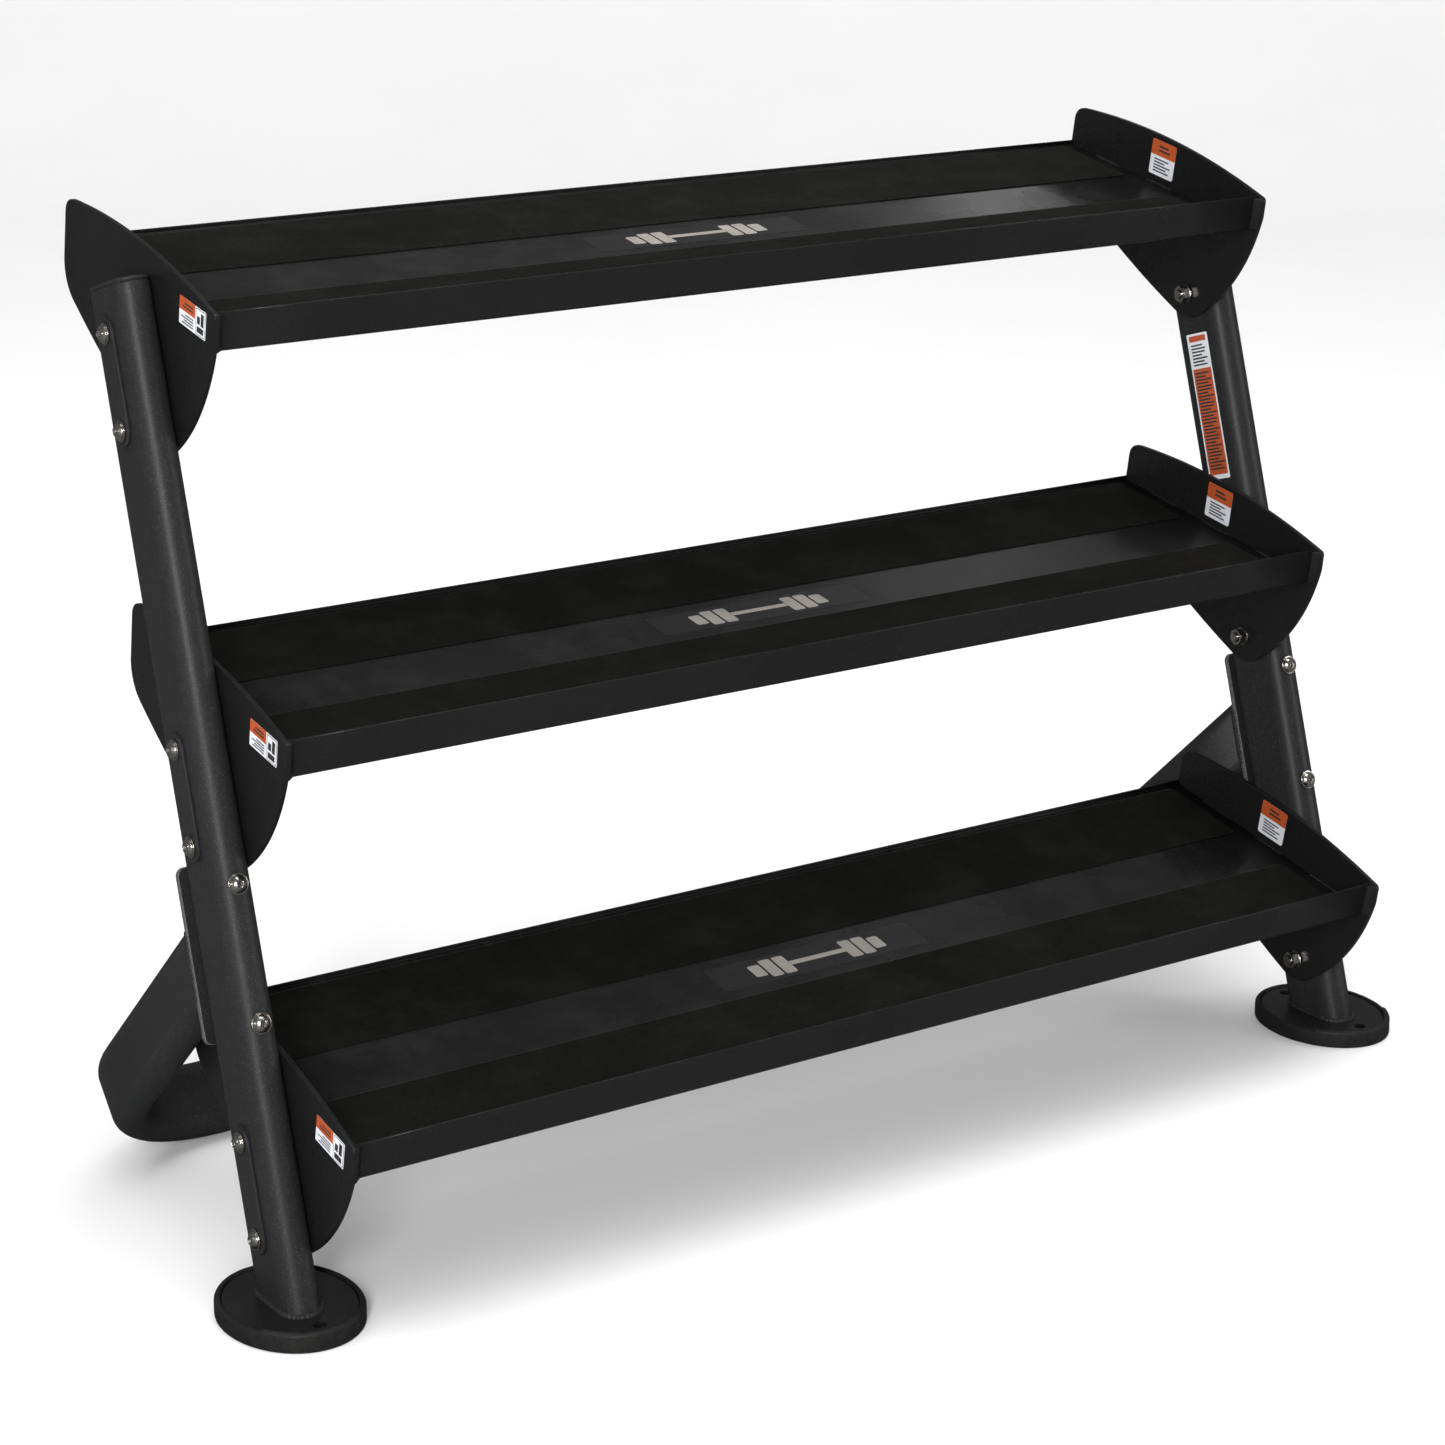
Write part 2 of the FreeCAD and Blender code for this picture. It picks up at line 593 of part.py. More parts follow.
# ---------------------------------------------------------------- labels
def plate_labels(x, edges):
    """A thin sticker on every end plate, given its front, rear, low and high edges."""
    front, rear, low, high = edges
    label = box_between(Vector(x, front, low), Vector(x + LABEL_THICKNESS, rear, high))
    labels = []
    for step, tilt in zip(SHELF_STEPS, SHELF_TILTS):
        labels.append(placed(label, shelf_frame(step, tilt)))
    return both_sides(labels)


def upright_label():
    """Tall sticker on the right upright's inner face, from the middle end plate upwards."""
    middle = placed(end_plate(SHELF_TILTS[1]), shelf_frame(SHELF_STEPS[1], SHELF_TILTS[1]))
    plate_top = upright_frame().inverse().multVec(Vector(0, 0, middle.BoundBox.ZMax)).z
    half = TALL_LABEL_WIDTH / 2
    low = Vector(PLATE_OUTSIDE - LABEL_THICKNESS, -half, plate_top - TALL_LABEL_LAP)
    high = Vector(PLATE_OUTSIDE, half, shelf_bolt(SHELF_STEPS[2]) - TALL_LABEL_BELOW)
    return placed(box_between(low, high), upright_frame()).cut(middle)


# ---------------------------------------------------------------- the whole rack
def pair(nodes, name, shape):
    """Add a right-hand piece and its left-hand mirror image."""
    nodes["right_" + name] = shape
    nodes["left_" + name] = mirrored(shape)


def build_nodes():
    """Every piece of the rack by name, standing with the uprights' axis over y = 0."""
    nodes = {}
    pair(nodes, "upright_tube", upright_tube())
    pair(nodes, "upright_top_cap", top_cap())
    pair(nodes, "base_plate", base_plate())
    pair(nodes, "rubber_foot", foot_pad())
    pair(nodes, "rear_bracket_plate", rear_bracket())
    nodes["rear_frame_tube"] = rear_frame()
    decals = []
    for name, step, tilt in zip(SHELF_NAMES, SHELF_STEPS, SHELF_TILTS):
        frame = shelf_frame(step, tilt)
        nodes[name + "_shelf_tray"] = placed(shelf_tray(), frame)
        pair(nodes, name + "_end_plate", placed(end_plate(tilt), frame))
        pair(nodes, name + "_doubler_strip", doubler_strip(step))
        for place, front, rear in mat_spans():
            nodes[name + "_" + place + "_mat"] = placed(shelf_mat(front, rear), frame)
        decals.append(placed(shelf_decal(), frame))
    nodes.update(side_fasteners())
    nodes.update(front_fasteners())
    nodes["shelf_decals"] = Part.makeCompound(decals)
    nodes["outer_plate_labels"] = plate_labels(PLATE_OUTSIDE, OUTER_LABEL)
    nodes["inner_plate_labels"] = plate_labels(PLATE_INSIDE - LABEL_THICKNESS, INNER_LABEL)
    nodes["upright_label"] = upright_label()
    return nodes


def centring_shift(nodes):
    """Move that puts the rack's middle, front to back, over the origin."""
    box = Part.makeCompound(list(nodes.values())).optimalBoundingBox()
    return Vector(0, -(box.YMin + box.YMax) / 2, 0)


def main():
    os.makedirs("parts", exist_ok=True)
    nodes = build_nodes()
    shift = centring_shift(nodes)
    for name, shape in nodes.items():
        shape.translate(shift)
        solids = shape.Solids
        closed = all(solid.isValid() for solid in solids)
        print(name, len(solids), "solids", "valid" if closed else "NOT VALID")
        shape.exportStep("parts/" + name + ".step")


main()
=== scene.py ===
import math

import bpy
import numpy as np
from bpy.props import FloatProperty, FloatVectorProperty, PointerProperty
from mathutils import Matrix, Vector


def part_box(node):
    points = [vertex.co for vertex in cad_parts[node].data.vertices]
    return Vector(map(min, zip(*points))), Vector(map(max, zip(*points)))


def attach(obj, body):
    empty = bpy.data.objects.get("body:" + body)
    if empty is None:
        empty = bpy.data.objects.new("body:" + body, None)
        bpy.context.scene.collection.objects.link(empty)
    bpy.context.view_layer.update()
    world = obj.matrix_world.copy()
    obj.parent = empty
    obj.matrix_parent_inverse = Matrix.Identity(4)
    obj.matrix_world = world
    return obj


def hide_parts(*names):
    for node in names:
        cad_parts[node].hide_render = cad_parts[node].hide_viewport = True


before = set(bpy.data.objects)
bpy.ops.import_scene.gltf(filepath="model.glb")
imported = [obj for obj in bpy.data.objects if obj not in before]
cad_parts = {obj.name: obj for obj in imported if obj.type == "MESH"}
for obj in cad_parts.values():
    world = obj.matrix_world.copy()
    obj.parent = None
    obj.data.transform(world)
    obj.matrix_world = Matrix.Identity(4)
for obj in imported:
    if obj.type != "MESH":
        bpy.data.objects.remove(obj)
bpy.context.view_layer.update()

bl_info = {
    "name": "Dumbbell rack",
    "version": (1, 0, 0),
    "blender": (4, 5, 0),
    "location": "3D View > Sidebar > Rack",
    "description": "Builds the visible surfaces of a three-shelf dumbbell rack around its frame",
    "category": "Add Mesh",
}

SHELVES = ("bottom", "middle", "top")
MAT_PLACES = ("front", "rear")


# ------------------------------------------------------------------ settings
def length(name, description, default):
    """A size in metres."""
    return FloatProperty(name=name, description=description, default=default, unit="LENGTH", precision=4)


def angle(name, description, degrees):
    """An angle, given in degrees."""
    return FloatProperty(name=name, description=description, default=math.radians(degrees), subtype="ANGLE")


def edges(name, description, default):
    """Four sizes that belong together, such as a flat piece's front, rear, low and high edges."""
    return FloatVectorProperty(name=name, description=description, default=default, size=4, unit="LENGTH")


def colour(name, description, default):
    """A linear colour."""
    return FloatVectorProperty(
        name=name, description=description, default=default, subtype="COLOR", size=3, min=0, max=1
    )


class RackSizes(bpy.types.PropertyGroup):
    """Sizes of the rack's pieces."""

    shelf_length: length("Shelf length", "Clear length between the end plates", 1.219)
    shelf_depth: length("Shelf depth", "Front of the lip to the rear edge", 0.314)
    sheet: length("Sheet", "Tray sheet thickness", 0.0025)
    lip_height: length("Lip height", "Top of the lip to the underside of the tray", 0.038)
    rear_edge: length("Rear edge", "Turned-up rear edge of the tray", 0.007)
    bend: length("Bend", "Outside radius of the tray's bends", 0.004)
    tube_width: length("Tube width", "Flat-oval tube across its flat faces", 0.038)
    tube_depth: length("Tube depth", "Flat-oval tube across its round edges", 0.078)
    lean: angle("Lean", "How far the uprights lean back", 17.1)
    upright_above: length("Upright above", "Tube beyond its highest bolt", 0.041)
    first_bolt: length("First bolt", "Lowest shelf bolt, along the upright from the floor", 0.0764)
    bolt_pair: length("Bolt pair", "Spacing of a shelf's two bolts", 0.089)
    shelf_steps: FloatVectorProperty(
        name="Shelf steps", description="Rise of each shelf's lower bolt", default=(0, 0.3598, 0.7406),
        size=3, unit="LENGTH",
    )
    shelf_tilts: FloatVectorProperty(
        name="Shelf tilts", description="How far each shelf tips back, from the bottom up",
        default=[math.radians(t) for t in (11.3, 9.4, 10.2)], size=3,
    )
    lip_ahead: length("Lip ahead", "Lip ahead of the upright's axis", 0.1415)
    lip_below: length("Lip below", "Top of the lip below the upper bolt", 0.006)
    plate_thickness: length("End plate", "Thickness of the end plates", 0.005)
    plate_edge: length("Plate edge", "Rounding of the cut plate edges", 0.0008)
    plate_nose: length("Plate nose", "End plate ahead of the lip", 0.007)
    plate_rear: length("Plate rear", "Rear corner of the end plate above the lip", 0.008)
    plate_drop: length("Plate drop", "Lower end of the rear edge below the lip", 0.075)
    tip_back: length("Tip back", "Lowest corner of the end plate behind the lip", 0.080)
    tip_drop: length("Tip drop", "Lowest corner of the end plate below the lip", 0.169)
    nose_top: length("Nose top", "Upper end of the straight nose below the lip", 0.001)
    nose_foot: length("Nose foot", "Lower end of the straight nose below the lip", 0.022)
    nose_rake: length("Nose rake", "Lower end of the nose ahead of its upper end", 0.0005)
    top_arch: length("Top arch", "Rise of the end plate's top edge off its chord", 0.014)
    front_arch: length("Front arch", "The same for its front edge, below the nose", 0.0175)
    underside_arch: length("Underside arch", "The same for its slanted underside", 0.007)
    plate_corners: edges("Plate corners", "At its tip, heel, rear and nose", (0.036, 0.042, 0.015, 0.005))
    mat_thickness: length("Mat thickness", "Rubber mats on the shelves", 0.0015)
    bare_strip: length("Bare strip", "Painted strip between the two mats", 0.076)
    mat_corner: length("Mat corner", "Corner radius of the mats", 0.006)
    mat_round: length("Mat rounding", "Rounding of the mats' cut edges", 0.001)
    mat_end_gap: length("Mat end gap", "Mats short of the end plates", 0.016)
    mat_front_gap: length("Mat front gap", "Front mat behind the lip", 0.006)
    mat_rear_gap: length("Mat rear gap", "Rear mat ahead of the rear edge", 0.007)
    strip_thickness: length("Strip thickness", "Doubler strips under the side bolts", 0.003)
    strip_inset: length("Strip inset", "Doubler strip inside the tube's flat face", 0.005)
    strip_end: length("Strip end", "Doubler strip beyond each bolt", 0.015)
    cap_thickness: length("Cap thickness", "Lid on top of each upright", 0.0045)
    cap_round: length("Cap rounding", "Rounding of the lid's upper rim", 0.0015)
    cap_groove: length("Cap groove", "Shadow line under the lid", 0.0011)
    pad_beside: length("Foot beside", "Rubber foot beyond the tube's flat faces", 0.0465)
    pad_beyond: length("Foot beyond", "Rubber foot beyond the tube's round edges", 0.042)
    pad_height: length("Foot height", "Rubber foot with its rim", 0.017)
    pad_rim: length("Foot rim", "Width of the rubber rim", 0.006)
    pad_floor: length("Foot floor", "Rubber under the steel base plate", 0.009)
    rim_step: length("Rim step", "Raised part of the rim above the rest", 0.0022)
    base_thickness: length("Base plate", "Steel plate in the rubber foot", 0.006)
    foot_back: length("Foot back", "Foot centre behind the upright's axis at the floor", 0.003)
    bracket_width: length("Bracket width", "Plate between each upright and its rear leg", 0.040)
    bracket_thickness: length("Bracket", "Thickness of that plate", 0.006)
    bracket_corner: length("Bracket corner", "Corner radius of that plate", 0.008)
    bracket_margin: length("Bracket margin", "Plate beyond each of its bolts", 0.019)
    bracket_gap: length("Bracket gap", "That plate outside the end plates", 0.0015)
    bracket_bolt: length("Bracket bolt", "Its lower bolt along the upright", 0.2706)
    bracket_pair: length("Bracket bolt pair", "Spacing of its two bolts", 0.127)
    leg_slope: angle("Leg slope", "Rear legs from the vertical", 47.3)
    leg_join: length("Leg join", "Middle of the leg's weld along the upright", 0.325)
    leg_bend: length("Leg bend", "Centreline radius of the rear frame's bends", 0.122)
    bolt_radius: length("Bolt radius", "Shank of every bolt", 0.005)
    head_radius: length("Head radius", "Button heads", 0.00875)
    head_height: length("Head height", "Button heads, to the top of the whole dome", 0.0055)
    socket_across: length("Socket", "Hexagon socket across its flats", 0.006)
    socket_depth: length("Socket depth", "Hexagon socket in each head", 0.0032)
    washer_radius: length("Washer radius", "Washers", 0.010)
    washer_thickness: length("Washer thickness", "Washers", 0.002)
    nut_across: length("Nut", "Nuts across their flats", 0.017)
    nut_height: length("Nut height", "Nuts", 0.0084)
    bolt_proud: length("Bolt proud", "Bolt end beyond its nut", 0.002)
    thread_pitch: length("Thread pitch", "Thread on the bolt ends", 0.0015)
    weld: length("Weld", "Radius of the weld beads", 0.0032)
    lip_weld: length("Lip weld", "Radius of the fillets between lip and end plate", 0.0066)
    label: length("Label", "Thickness of the labels and badges", 0.00025)
    outer_label: edges("Outer label", "Label on an end plate's outer face", (0.010, 0.063, -0.030, -0.004))
    inner_label: edges("Inner label", "Label on an end plate's inner face", (0.138, 0.178, -0.027, 0.012))
    tall_label: length("Tall label", "Width of the label on the right upright", 0.034)
    tall_label_below: length("Tall label below", "Its upper end below the top shelf's lower bolt", 0.045)
    badge_length: length("Badge length", "Badge between the mats", 0.250)
    badge_width: length("Badge width", "Badge front to back", 0.044)


class RackColours(bpy.types.PropertyGroup):
    """Colours of the rack's finishes."""

    frame_paint: colour("Frame paint", "Charcoal paint of the uprights", (0.0165, 0.0168, 0.0173))
    shelf_paint: colour("Shelf paint", "Black paint of the shelves", (0.0100, 0.0100, 0.0104))
    plate_paint: colour("Plate paint", "Paint of the base plates", (0.0085, 0.0086, 0.0090))
    # Painted highlight: a much lighter grey for the bracket plates' rims, standing in for the light line
    # where their cut edges catch the light.
    worn_edge: colour("Worn edge", "Paint rubbed thin along cut edges", (0.075, 0.075, 0.077))
    mat: colour("Mats", "Rubber mats", (0.0060, 0.0060, 0.0054))
    # Painted highlight: the mats' cut edges are made many times lighter than the mat, standing in for the
    # thin light lines where they catch the light.
    cut: colour("Cut rubber", "Cut edges of the mats", (0.055, 0.052, 0.046))
    foot: colour("Feet", "Rubber feet", (0.0120, 0.0120, 0.0115))
    steel: colour("Bright steel", "Nickel-plated fasteners", (0.66, 0.63, 0.58))
    orange: colour("Label orange", "Coloured fields of the labels", (0.44, 0.078, 0.018))
    white: colour("Label white", "White fields of the labels", (0.70, 0.72, 0.76))
    ink: colour("Label ink", "Dark marks on the labels", (0.035, 0.030, 0.030))
    badge: colour("Badge film", "Film under the badge's figure", (0.014, 0.014, 0.015))
    silver: colour("Badge silver", "Light figure on the badges", (0.27, 0.255, 0.23))
    floor: colour("Floor", "Studio floor", (0.86, 0.86, 0.86))


def sizes():
    """The scene's sizes."""
    return bpy.context.scene.rack_sizes


def colours():
    """The scene's colours."""
    return bpy.context.scene.rack_colours


# ------------------------------------------------------------------ places
def frame_at(origin, x, y, z):
    """A frame from its origin and its three axes, as a 4 x 4 matrix."""
    matrix = np.eye(4)
    matrix[:3, 0] = x
    matrix[:3, 1] = y
    matrix[:3, 2] = z
    matrix[:3, 3] = origin
    return matrix


def turned(turn, origin):
    """A frame turned about X."""
    c = math.cos(turn)
    s = math.sin(turn)
    return frame_at(origin, (1, 0, 0), (0, c, s), (0, -s, c))


def upright_frame():
    """Frame on the uprights' axis at the floor: z climbs it and y points back from it."""
    low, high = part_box("right_base_plate")
    return turned(-sizes().lean, (0, (low.y + high.y) / 2 - sizes().foot_back, 0))


def shelf_bolt(shelf):
    """Height of a shelf's lower bolt along the upright."""
    return sizes().first_bolt + sizes().shelf_steps[SHELVES.index(shelf)]


def shelf_frame(shelf):
    """Frame at the top of a shelf's lip: y runs back along the shelf, z stands on it."""
    s = sizes()
    lip = np.array([0, -s.lip_ahead, shelf_bolt(shelf) + s.bolt_pair - s.lip_below, 1])
    return turned(s.shelf_tilts[SHELVES.index(shelf)], (upright_frame() @ lip)[:3])


def leg_frame():
    """Frame of the rear frame's plane: z climbs the legs, x runs along the floor tube."""
    s = sizes()
    join = upright_frame() @ np.array([0, bracket_back(), s.leg_join, 1])
    run_z = (s.tube_depth - s.tube_width) / 2 * math.sin(s.leg_slope) + s.tube_width / 2
    return turned(s.leg_slope, (0, join[1] + (join[2] - run_z) * math.tan(s.leg_slope), run_z))


def plate_inside():
    """Inner face of the right end plates."""
    return sizes().shelf_length / 2


def plate_outside():
    """Outer face of the right end plates, where the upright stands."""
    return plate_inside() + sizes().plate_thickness


def upright_x():
    """Axis of the right upright."""
    return plate_outside() + sizes().tube_width / 2


def upright_outside():
    """Outer flat of the right upright."""
    return plate_outside() + sizes().tube_width


def upright_length():
    """Top of the uprights along their axis."""
    return shelf_bolt("top") + sizes().bolt_pair + sizes().upright_above


def bracket_back():
    """Back of the bracket plates behind the uprights' axis."""
    return sizes().tube_depth / 2 + sizes().bracket_thickness


def leg_x():
    """Axis of the right rear leg."""
    return plate_outside() + sizes().bracket_gap + sizes().bracket_width / 2


def tray_floor():
    """Painted floor of a tray below its lip."""
    return sizes().sheet - sizes().lip_height


def mat_spans():
    """Front and rear limits of a shelf's two mats."""
    s = sizes()
    front = s.sheet + s.mat_front_gap
    rear = s.shelf_depth - s.sheet - s.mat_rear_gap
    width = (rear - front - s.bare_strip) / 2
    return ((front, front + width), (rear - width, rear))


def laid_along_x(start):
    """Frame that lays an outline's x and y on y and z, with its thickness along x from a start."""
    return frame_at((start, 0, 0), (0, 1, 0), (0, 0, 1), (1, 0, 0))


# ------------------------------------------------------------------ outlines
def oval(width, depth, arcs=30, flats=6):
    """Flat oval, anticlockwise: two half circles joined by straight sides, width along x."""
    r = width / 2
    s = (depth - width) / 2
    t = np.linspace(0, np.pi, arcs + 1)
    top = np.stack([r * np.cos(t), s + r * np.sin(t)], 1)
    side = np.linspace(s, -s, flats + 1)[1:-1]
    left = np.stack([np.full(flats - 1, -r), side], 1)
    return np.concatenate([top, left, -top, -left])


def ellipse(width, depth, count=240):
    """Ellipse, anticlockwise, its width along x and its depth along y."""
    return circle(0.5, count) * (width, depth)


def circle(radius, count=48):
    """Circle, anticlockwise."""
    t = np.arange(count) * 2 * np.pi / count
    return radius * np.stack([np.cos(t), np.sin(t)], 1)


def hexagon_reach(across, count=48):
    """Distance from the centre to a hexagon's sides in each of a circle's directions."""
    t = np.arange(count) * 2 * np.pi / count
    return across / 2 / np.cos((t + np.pi / 6) % (np.pi / 3) - np.pi / 6)


def filleted(corners, radii, steps=8):
    """Closed outline through corners, each rounded by the arc that touches both of its sides.

    The arc's centre lies on the corner's bisector, at the radius over the sine of half the angle.
    """
    corners = np.array(corners, float)
    pieces = []
    for i, radius in enumerate(radii):
        point = corners[i]
        u = corners[i - 1] - point
        v = corners[(i + 1) % len(corners)] - point
        u /= np.linalg.norm(u)
        v /= np.linalg.norm(v)
        half = math.acos(np.clip(u @ v, -1, 1)) / 2
        middle = point + (u + v) / np.linalg.norm(u + v) * radius / math.sin(half)
        reach = radius / math.tan(half)
        arc = arc_between(middle, point + u * reach, point + v * reach, steps)
        pieces += [[point + u * reach * 1.2], arc, [point + v * reach * 1.2]]
    return np.concatenate(pieces)


def arc_between(middle, a, b, steps):
    """Points on a circle about a middle from a to b, the short way round."""
    start = math.atan2(a[1] - middle[1], a[0] - middle[0])
    end = math.atan2(b[1] - middle[1], b[0] - middle[0])
    turn = (end - start + math.pi) % (2 * math.pi) - math.pi
    t = start + turn * np.linspace(0, 1, steps + 1)
    return middle + np.linalg.norm(a - middle) * np.stack([np.cos(t), np.sin(t)], 1)


def rectangle(low, high, radius, steps=8):
    """Rectangle between two corners with rounded corners."""
    corners = [low, (high[0], low[1]), high, (low[0], high[1])]
    return filleted(corners, [radius] * 4, steps)


def arched_side(a, b, rise, count=500):
    """Arc from a to b whose middle stands a rise to the right of the chord; straight at zero."""
    a = np.array(a, float)
    b = np.array(b, float)
    t = np.linspace(0, 1, count)[:, None]
    if rise == 0:
        return a + (b - a) * t
    chord = np.linalg.norm(b - a)
    along = (b - a) / chord
    out = np.array([along[1], -along[0]])
    radius = (chord**2 / 4 + rise**2) / (2 * rise)
    turn = np.arcsin(chord / 2 / radius) * (2 * t - 1)
    return (a + b) / 2 + along * radius * np.sin(turn) + out * (radius * np.cos(turn) - radius + rise)


def moved_in(side, distance):
    """An open run of points moved to its left."""
    d = np.gradient(side, axis=0)
    d /= np.linalg.norm(d, axis=1)[:, None]
    return side + np.stack([-d[:, 1], d[:, 0]], 1) * distance


def rolled_corner(before, after, radius, steps=24):
    """Two sides cut back to the circle that touches both, and the arc between them.

    The circle's centre is where the two sides, each moved inwards by the radius, come closest.
    """
    one = moved_in(before, radius)
    two = moved_in(after, radius)
    gaps = np.linalg.norm(one[:, None, :] - two[None, :, :], axis=2)
    i, j = np.unravel_index(np.argmin(gaps), gaps.shape)
    middle = (one[i] + two[j]) / 2
    return before[:i], arc_between(middle, before[i], after[j], steps), after[j + 1 :]


def resampled(loop, count):
    """The loop at a number of points, spread by its length and its turning alike."""
    loop = loop[np.linalg.norm(np.roll(loop, -1, 0) - loop, axis=1) > 1e-9]
    d = np.roll(loop, -1, 0) - loop
    step = np.linalg.norm(d, axis=1)
    heading = np.arctan2(d[:, 1], d[:, 0])
    turn = np.abs((np.roll(heading, -1) - heading + np.pi) % (2 * np.pi) - np.pi)
    weight = step / step.sum() + turn / turn.sum()
    measure = np.concatenate([[0], np.cumsum(weight)])
    places = np.linspace(0, measure[-1], count, endpoint=False)
    closed = np.concatenate([loop, loop[:1]])
    return np.stack([np.interp(places, measure, closed[:, k]) for k in (0, 1)], 1)


def end_plate_outline():
    """Right end plate, anticlockwise in y and z: bowed front, tip, underside, rear and arched top."""
    s = sizes()
    nose = (-s.plate_nose, -s.nose_top)
    front = (-s.plate_nose - s.nose_rake, -s.nose_foot)
    tip = (s.tip_back, -s.tip_drop)
    heel = (s.shelf_depth, -s.plate_drop)
    rear = (s.shelf_depth, s.plate_rear)
    sides = [
        arched_side(front, tip, s.front_arch),
        arched_side(tip, heel, s.underside_arch),
        arched_side(heel, rear, 0),
        arched_side(rear, nose, s.top_arch),
        arched_side(nose, front, 0),
    ]
    outline = []
    for i, radius in enumerate(s.plate_corners):
        kept, arc, sides[i + 1] = rolled_corner(sides[i], sides[i + 1], radius)
        outline += [kept, arc]
    outline = resampled(np.concatenate(outline + [sides[-1]]), 240)
    least_step = 0.0002
    apart = np.linalg.norm(np.roll(outline, -1, 0) - outline, axis=1) > least_step
    return shrunk(outline[apart], least_step / 2)


def shrunk(loop, distance):
    """A closed loop moved inwards along its own normals."""
    d = np.roll(loop, -1, 0) - loop
    d /= np.linalg.norm(d, axis=1)[:, None]
    d = d + np.roll(d, 1, 0)
    d /= np.linalg.norm(d, axis=1)[:, None]
    return loop + np.stack([-d[:, 1], d[:, 0]], 1) * distance


# ------------------------------------------------------------------ surfaces
class Surface:
    """Points and faces of one closed shape, with a smooth flag and a finish number for each face."""

    def __init__(self, points, faces, smooth, finish):
        self.points = points
        self.faces = faces
        self.smooth = smooth
        self.finish = finish

    def placed(self, matrix):
        """The surface carried by a frame."""
        points = self.points @ matrix[:3, :3].T + matrix[:3, 3]
        return Surface(points, self.faces, self.smooth, self.finish)

    def mirrored(self):
        """The surface's mirror image across x = 0, its faces turned to point outwards again."""
        return Surface(self.points * (-1, 1, 1), [f[::-1] for f in self.faces], self.smooth, self.finish)


def skin(rings, closed=False, finish=0):
    """Skin over a stack of closed rings, an array of rings by points by coordinates.

    Point (i, j) joins (i, j + 1), (i + 1, j + 1) and (i + 1, j), and j wraps round. The first and
    last rings are filled flat, or are joined to each other when the stack itself is closed.
    """
    rings = np.asarray(rings, float)
    rows, count = rings.shape[:2]
    index = np.arange(rows * count).reshape(rows, count)
    lower = index if closed else index[:-1]
    upper = np.roll(index, -1, 0) if closed else index[1:]
    quads = np.stack([lower, np.roll(lower, -1, 1), np.roll(upper, -1, 1), upper], 2)
    faces = quads.reshape(-1, 4).tolist()
    smooth = [True] * len(faces)
    if not closed:
        faces += [index[0][::-1].tolist(), index[-1].tolist()]
        smooth += [False, False]
    return Surface(rings.reshape(-1, 3), faces, smooth, [finish] * len(faces))


def level(loop, height):
    """A flat loop as a ring of points at a height, or at a height for each of its points."""
    return np.column_stack([loop, np.broadcast_to(height, len(loop))])


def plate(loop, low, high, edge, finish=0, steps=4, rim=None):
    """Flat plate on a loop with both rims rounded, the rim with a finish of its own where one is given.

    Along a quarter turn t the ring is shrunk by edge (1 - sin t) and lies edge (1 - cos t) from the face.
    """
    t = np.linspace(0, np.pi / 2, steps + 1)
    inset = edge * (1 - np.sin(t))
    rise = edge * (1 - np.cos(t))
    rings = [level(shrunk(loop, i), low + r) for i, r in zip(inset, rise)]
    rings += [level(shrunk(loop, i), high - r) for i, r in zip(inset[::-1], rise[::-1])]
    surface = skin(rings, finish=finish)
    if rim is not None:
        surface.finish = [rim] * (len(surface.faces) - 2) + [finish] * 2
    return surface


def lathe(profile):
    """Closed ring of turning: each (radius, height) becomes a circle, and the last meets the first."""
    return skin([level(circle(r), z) for r, z in profile], closed=True)


def bead(path, out, up, radius, ripple, closed=True, count=12):
    """Weld bead: a circle carried along a path, in the plane of two direction fields.

    Its radius swells by a sine of the length run, once for each drop of metal, and an open
    bead's ends close like a half sphere.
    """
    stretch = np.concatenate([path, path[:1]]) if closed else path
    run = np.concatenate([[0], np.cumsum(np.linalg.norm(np.diff(stretch, axis=0), axis=1))])
    whole = run[-1]
    run = run[: len(path)]
    drops = max(1, round(whole / (1.3 * radius)))
    phase = 2 * np.pi * run / whole
    swell = np.sin(drops * phase) + 0.5 * np.sin(3 * phase + 1.0) + 0.4 * np.sin(7 * phase)
    r = radius * (1 + ripple * swell)
    if not closed:
        end = np.clip(np.minimum(run, whole - run) / radius, 0, 1)
        r = r * np.sqrt(np.clip(1 - (1 - end) ** 2, 0.03, 1))
    if np.cross(out[0], up[0]) @ (path[1] - path[0]) < 0:
        out, up = up, out
    t = np.arange(count) * 2 * np.pi / count
    across = r[:, None, None] * np.cos(t)[None, :, None] * out[:, None, :]
    rings = path[:, None, :] + across + r[:, None, None] * np.sin(t)[None, :, None] * up[:, None, :]
    return skin(rings, closed)


def make_piece(name, surfaces, finishes, nodes):
    """One object at the origin from surfaces, riding on the rack and standing for its CAD nodes."""
    faces = []
    start = 0
    for surface in surfaces:
        faces += [[k + start for k in face] for face in surface.faces]
        start += len(surface.points)
    mesh = bpy.data.meshes.new(name)
    mesh.from_pydata(np.concatenate([s.points for s in surfaces]).tolist(), [], faces)
    mesh.polygons.foreach_set("use_smooth", np.concatenate([s.smooth for s in surfaces]).astype(bool))
    finish_numbers = np.concatenate([s.finish for s in surfaces]).astype(np.int32)
    mesh.polygons.foreach_set("material_index", finish_numbers)
    mesh.update()
    if mesh.validate():
        raise RuntimeError(name + " has faces that had to be mended")
    for entry in finishes:
        mesh.materials.append(finish(entry))
    piece = bpy.data.objects.new(name, mesh)
    bpy.context.scene.collection.objects.link(piece)
    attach(piece, "root")
    if nodes:
        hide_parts(*nodes)
    return piece


def cover(node, surfaces, finishes, slot):
    """The piece that stands for one CAD node and is named after it."""
    make_piece(node + "_skin", surfaces, finishes, [node])


